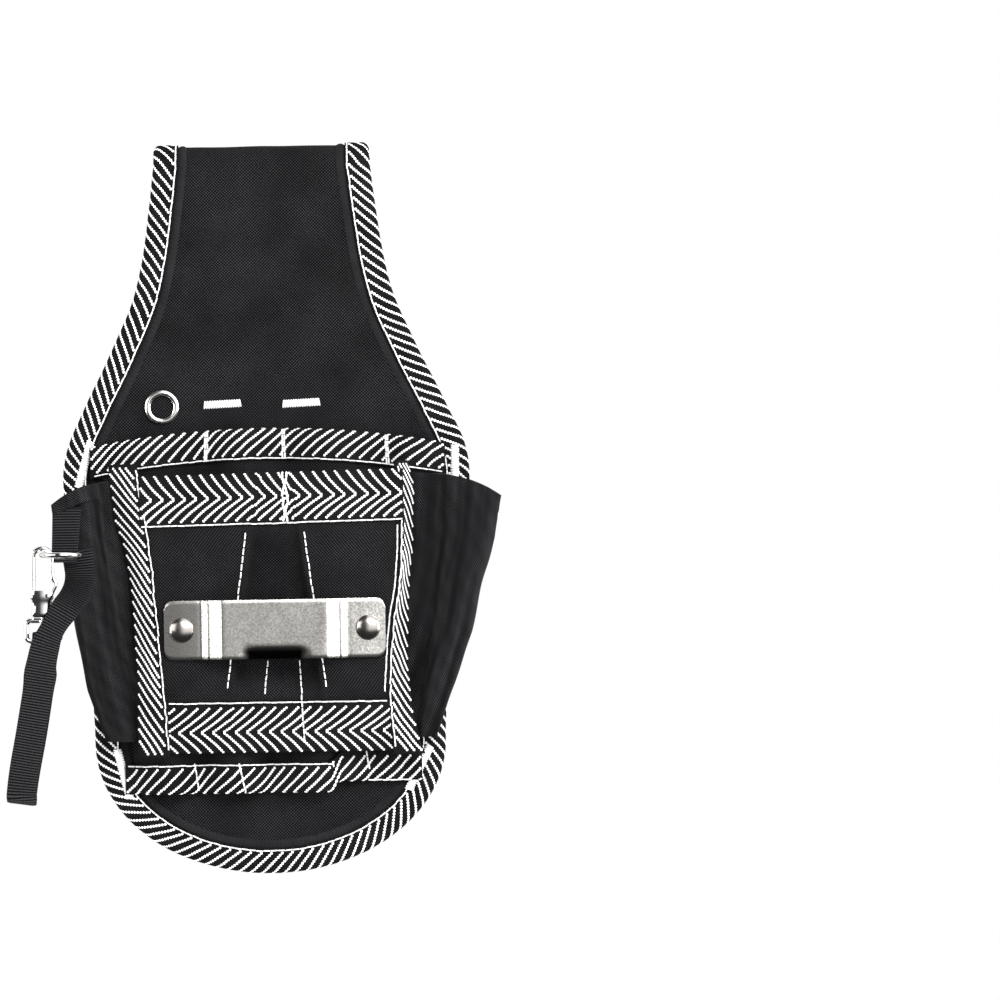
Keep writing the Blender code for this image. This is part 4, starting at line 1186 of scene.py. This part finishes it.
def bar_tacks():
    tacks = Batch()
    over = -TAPE_OVER - 0.1
    for x in (-14.7, 12.4):
        a, b = Vector((x - 6.1, -0.05, z_at(88.9))), Vector((x + 6.1, -0.05, z_at(88.4)))
        satin(tacks, a, b, 2.3, -Y_AXIS)
    for name, (x0, d0), (x1, d1) in (
        ("upper_left", (-60.2, 101), (-64.6, 116.5)), ("upper_right", (65.0, 104.3), (64.8, 115.4)),
        ("lower_left", (-52.7, 207), (-48.7, 223.5)), ("lower_right", (54.8, 207.4), (47.3, 222)),
    ):
        satin(tacks, Vector((x0, over, z_at(d0))), Vector((x1, over, z_at(d1))), 2.5, -Y_AXIS)
    nodes = ["belt_loop_tack_left", "belt_loop_tack_right"]
    nodes += [f"{level}_corner_tack_{side}" for level in ("upper", "lower") for side in ("left", "right")]
    tacks.make("bar_tacks", "thread", replaces=nodes)


# ---------------------------------------------------------------- strap and hardware
def ribbed_webbing(batch, stations, thick=1.2, pitch=0.95, rib=0.11):
    """Webbing along stations of (middle, across, width), with a rib across it at every pitch."""
    lengths = [0.0]
    for (p, _, _), (q, _, _) in zip(stations, stations[1:]):
        lengths.append(lengths[-1] + (q - p).length)
    total, loops, places, k = lengths[-1], [], [], 0
    count = int(total / (pitch / 4))
    for i in range(count + 1):
        s = total * i / count
        while k < len(lengths) - 2 and lengths[k + 1] < s:
            k += 1
        t = (s - lengths[k]) / (lengths[k + 1] - lengths[k])
        (p, a, w), (q, b, v) = stations[k], stations[k + 1]
        centre, across = p.lerp(q, t), a.lerp(b, t).normalized()
        before, after = stations[max(k - 1, 0)][0], stations[min(k + 2, len(stations) - 1)][0]
        along = (q - before).normalized().lerp((after - p).normalized(), t)
        out = along.cross(across).normalized()
        width = mix(w, v, t) / 2
        bump = rib * math.cos(2 * math.pi * s / pitch)
        loop, marks = [], []
        for side, u in [(1, -1 + j / 4) for j in range(9)] + [(-1, 1 - j / 4) for j in range(9)]:
            edge = 0.55 if abs(u) == 1 else 1.0
            loop.append(centre + across * u * width - out * side * (thick / 2 * edge + bump * edge))
            marks.append((u * width, s))
        loops.append(loop)
        places.append(marks)
    batch.loops(loops, places=places)


def smooth_path(points, each=6):
    return [Vector(p) for p in rounded([tuple(p) for p in points], each)]


def webbing_tab():
    loop_r = 1.9
    y, z = HINGE.y, HINGE.z
    path = [(-19.3, z_at(123.6)), (-19.9, z_at(127)), (-21.0, z_at(132))]
    for k in range(9):
        a = math.radians(20 - 27.5 * k)
        path.append((y + loop_r * math.cos(a), z + loop_r * math.sin(a)))
    path += [(-23.5, z_at(132)), (-21.9, z_at(127)), (-20.8, z_at(123.6))]
    points = smooth_path([(HINGE.x + 0.9 + 0.05 * (b - z), a, b) for a, b in path])
    tab = Batch()
    ribbed_webbing(tab, [(p, X_AXIS, 8.6 + 0.07 * max(0.0, p.z - z)) for p in points], rib=0.16)
    tab.make("webbing_loop", "webbing", replaces=("webbing_tab",))


def wire(path, radius, closed=False, steps=16):
    batch = Batch()
    batch.tube(path, radius, steps=steps, closed=closed)
    return batch


def d_ring():
    path = []
    for k in range(9):
        path.append(HINGE + Vector((mix(-4.9, 4.9, k / 8), 0, 0)))
    for a in range(15, 91, 15):
        turn = math.radians(a)
        path.append(HINGE + Vector((4.9 + 1.6 * math.sin(turn), -1.6 + 1.6 * math.cos(turn), 0)))
    for k in range(37):
        a = math.radians(5 * k)
        path.append(HINGE + Vector((6.5 * math.cos(a), -7.0 - 6.5 * math.sin(a), 0)))
    for a in range(90, 14, -15):
        turn = math.radians(a)
        path.append(HINGE + Vector((-4.9 - 1.6 * math.sin(turn), -1.6 + 1.6 * math.cos(turn), 0)))
    wire(path, 1.0, closed=True).make("ring", "chrome", body="d_ring", replaces=("d_ring",))


def snap_hook():
    claw = [Vector((HOOK_X - 3.2, HOOK_Y, STEM_TOP - 1.0)), Vector((HOOK_X - 3.2, HOOK_Y, HINGE.z - 4.9))]
    for k in range(1, 25):
        a = math.radians(180 - 7.5 * k)
        claw.append(Vector((HOOK_X + 3.2 * math.cos(a), HOOK_Y, HINGE.z - 0.9 + 3.2 * math.sin(a))))
    claw.append(Vector((HOOK_X + 3.2, HOOK_Y, HINGE.z - 2.3)))
    hook = wire(claw, [0.9] * (len(claw) - 1) + [0.75])
    stem = [
        (2.9, 3.3, 1.9), (2.9, 3.9, 2.2), (2.2, 4.0, 2.3), (0.2, 4.0, 2.3), (-0.6, 3.5, 2.1),
        (-3.0, 3.3, 2.0), (-4.2, 3.6, 2.2), (-5.6, 3.6, 2.2), (-6.2, 3.0, 1.9),
    ]
    loops = []
    for up, half, deep in stem:
        ring = []
        for k in range(24):
            a = 2 * math.pi * k / 24
            flat = 0.55
            x = half * math.copysign(abs(math.cos(a)) ** flat, math.cos(a))
            y = deep * math.copysign(abs(math.sin(a)) ** flat, math.sin(a))
            ring.append(Vector((HOOK_X - 0.3 + x, HOOK_Y + y, STEM_TOP - 2.9 + up)))
        loops.append(ring)
    hook.loops(loops[::-1])
    hook.make("hook", "chrome", body="snap_hook", replaces=("snap_hook_body",))
    lever = Batch()
    x, z = HOOK_X + 1.7, STEM_TOP - 1.8
    lean = HOOK_X + 2.4
    line = [
        (x + 0.4, z - 0.6), (x + 1.6, z + 1.6), (lean + 1.9, z + 4.0), (lean + 1.1, z + 6.4),
        (lean + 0.8, HINGE.z - 3.2),
    ]
    path = smooth_path([(a, HOOK_Y - 0.15, b) for a, b in line], 4)
    lever.tube(path, [mix(0.95, 0.7, k / (len(path) - 1)) for k in range(len(path))], steps=12, flat=0.8)
    lever.make("gate_lever", "chrome", body="gate", replaces=("hook_gate",))
    pin = Batch()
    profile = (
        (0.45, -2.5), (0.75, -2.45), (0.75, -2.2), (0.5, -2.1), (0.5, 2.1), (0.75, 2.2), (0.75, 2.45),
        (0.45, 2.5),
    )
    turned(pin, profile, (x, HOOK_Y, z), Y_AXIS, steps=20)
    pin.make("gate_rivet", "chrome", body="snap_hook", replaces=("gate_pin",))
    coil = []
    for k in range(49):
        a = 2 * math.pi * k / 16
        coil.append(Vector((x + 1.0 * math.cos(a), HOOK_Y + 0.75 + 0.3 * k / 48, z + 1.0 * math.sin(a))))
    wire(coil, 0.16, steps=6).make("gate_coil", "spring", body="snap_hook", replaces=("gate_spring",))


def swivel_eye():
    corner, path = 1.5, []
    for cx, cz, first in ((1, 1, 0), (-1, 1, 90), (-1, -1, 180), (1, -1, 270)):
        for k in range(7):
            a = math.radians(first + 15 * k)
            x = cx * (EYE_HALF - corner) + corner * math.cos(a)
            z = cz * (EYE_TALL / 2 - corner) + corner * math.sin(a)
            path.append(Vector((HOOK_X + x, HOOK_Y, EYE_TOP - EYE_TALL / 2 + z)))
    eye = wire(path, 0.9, closed=True)
    foot = STEM_BOTTOM
    stud = [
        (1.5, EYE_TOP - 0.5), (1.5, EYE_TOP + 0.1), (0.95, EYE_TOP + 0.5), (0.95, foot + 1.7),
        (1.7, foot + 1.8), (1.7, foot + 2.6), (1.0, foot + 3.1),
    ]
    turned(eye, stud, (HOOK_X, HOOK_Y, 0), Z_AXIS, steps=20)
    eye.make("eye", "chrome", body="strap_loop", replaces=("swivel_eye",))


def strap():
    """Webbing sewn round the eye's lower bar, down behind to a fold, and up in front of the hook."""
    bar_z = EYE_TOP - EYE_TALL
    path = [(HOOK_X, HOOK_Y - 2.0, bar_z - 2.6)]
    for k in range(9):
        a = math.radians(200 - 27.5 * k)
        path.append((HOOK_X, HOOK_Y + 2.1 * math.cos(a), bar_z + 2.1 * math.sin(a)))
    path += [(x, y, z_at(drop)) for x, y, drop in STRAP_REAR_LEG]
    for k in range(7):
        a = math.radians(-30 * k)
        path.append((-84.4, -26.0 + 3.2 * math.cos(a), z_at(220.4) + 3.2 * math.sin(a)))
    path += [(x, y, z_at(drop)) for x, y, drop in STRAP_FRONT_LEG]
    points = smooth_path(path, 5)
    stations = []
    for i, p in enumerate(points):
        along = points[min(i + 1, len(points) - 1)] - points[max(i - 1, 0)]
        slope = along.x / along.z if abs(along.z) > 0.4 * along.length else 0.16
        across = Vector((1, 0, -min(max(slope, -0.6), 0.6))).normalized()
        in_front = i > 0.62 * len(points)
        squeezed = 0.6 * math.exp(-(((p.z - z_at(164)) / 4.5) ** 2))
        gathered = squeezed if in_front else 1 - smoothstep((bar_z - 3 - p.z) / 8)
        sewn = math.exp(-(((p.z - z_at(180)) / 3.5) ** 2))
        stations.append((p, across, 10.0 * mix(1, 0.74, gathered) + 0.9 * sewn))
    # each station's direction is evened out with its neighbours', so that the ribs turn gradually
    for _ in range(6):
        turns = [
            stations[max(i - 1, 0)][1] + s[1] + stations[
                min(i + 1, len(stations) - 1)
            ][1] for i, s in enumerate(stations)
        ]
        stations = [(p, a.normalized(), w) for (p, _, w), a in zip(stations, turns)]
    band = Batch()
    ribbed_webbing(band, stations, rib=0.15)
    band.make("strap", "webbing", body="strap_loop", replaces=("strap_webbing",))


# ---------------------------------------------------------------- the whole pouch
back_panel()
edge_binding()
rear_pocket()
front_pocket()
seam_tapes()
side_pockets()
eyelet()
tape_clip()
bar_tacks()
webbing_tab()
d_ring()
snap_hook()
swivel_eye()
strap()
for obj, flat, held, rests_on, area, with_pieces in SHEETS:
    extra = [bpy.data.objects[name] for name in with_pieces]
    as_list(rests_on)


# ---------------------------------------------------------------- stage, light and camera
def stage():
    mesh = bpy.data.meshes.new("floor")
    size, level, back = 1.6, -0.36, 0.6
    corners = [(-size, -size, level), (size, -size, level), (size, back, level), (-size, back, level)]
    mesh.from_pydata(corners, [], [(0, 1, 2, 3)])
    floor = bpy.data.objects.new("floor", mesh)
    mesh.materials.append(Shader("floor", (0.93, 0.93, 0.93), 0.9).material)
    bpy.context.scene.collection.objects.link(floor)
    floor.visible_glossy = False
    floor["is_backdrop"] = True


def softbox(name, place, target, size, power):
    data = bpy.data.lights.new(name, "AREA")
    data.shape, data.size, data.size_y = "RECTANGLE", size[0], size[1]
    data.energy = power
    light = bpy.data.objects.new(name, data)
    light.location = place
    light.rotation_euler = (Vector(target) - Vector(place)).to_track_quat("-Z", "Y").to_euler()
    bpy.context.scene.collection.objects.link(light)


def lighting():
    """White behind the pouch and to the camera; as light, in front it is grey, brighter to the
    right and nearly dark low down."""
    studio = bpy.data.worlds.new("studio")
    bpy.context.scene.world = studio
    studio.use_nodes = True
    tree = studio.node_tree
    ground = tree.nodes["Background"]
    way = tree.nodes.new("ShaderNodeTexCoord")
    parts = tree.nodes.new("ShaderNodeSeparateXYZ")
    tree.links.new(way.outputs["Generated"], parts.inputs[0])

    def ramp(value, low, high, to_low, to_high):
        made = tree.nodes.new("ShaderNodeMapRange")
        for k, number in zip((1, 2), (low, high)):
            made.inputs[k].default_value = number
        for k, number in zip((0, 3, 4), (value, to_low, to_high)):
            if isinstance(number, bpy.types.NodeSocket):
                tree.links.new(number, made.inputs[k])
            else:
                made.inputs[k].default_value = number
        return made.outputs[0]

    sideways = ramp(parts.outputs[0], -0.12, 0.10, 0.05, 1.6)
    in_front = ramp(parts.outputs[2], -0.3, -0.05, 0.04, sideways)
    whole = ramp(parts.outputs[1], -0.1, 0.3, in_front, 1.0)
    seen = tree.nodes.new("ShaderNodeLightPath").outputs["Is Camera Ray"]
    tree.links.new(ramp(seen, 0.0, 1.0, whole, 1.0), ground.inputs["Strength"])
    ground.inputs["Color"].default_value = (1, 1, 1, 1)
    middle = (0, 0, -0.12)
    softbox("key", (0.5, -1.3, 0.6), middle, (0.9, 0.6), 26)
    softbox("fill", (-1.3, -1.3, 0.3), middle, (1.0, 1.0), 7)
    softbox("left_strip", (-1.2, -0.35, 0.05), middle, (0.6, 1.0), 12)
    softbox("right_strip", (1.2, -0.35, 0.05), middle, (0.6, 1.0), 12)
    bpy.context.scene.view_settings.view_transform = "Standard"


def camera():
    """A long lens at the height of the picture's middle, as the pouch hangs in its left half."""
    picture, far = 0.3425, 3.0
    data = bpy.data.cameras.new("camera")
    data.sensor_width = 36
    data.lens = 36 * far / picture
    data.clip_end = 20
    obj = bpy.data.objects.new("camera", data)
    obj.location = (0.0802, -far - FOLD_R * MM - 0.012, z_at(123.2) * MM)
    obj.rotation_mode = "XYZ"
    upright = Y_AXIS.to_track_quat("-Z", "Y").to_matrix()
    obj.rotation_euler = (upright @ Matrix.Rotation(math.radians(-0.94), 3, "Z")).to_euler()
    bpy.context.scene.collection.objects.link(obj)
    bpy.context.scene.camera = obj


stage()
lighting()
camera()

low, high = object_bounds()
{"cad": [list(CAD_LOW), list(CAD_HIGH)], "visual": [list(low), list(high)]}
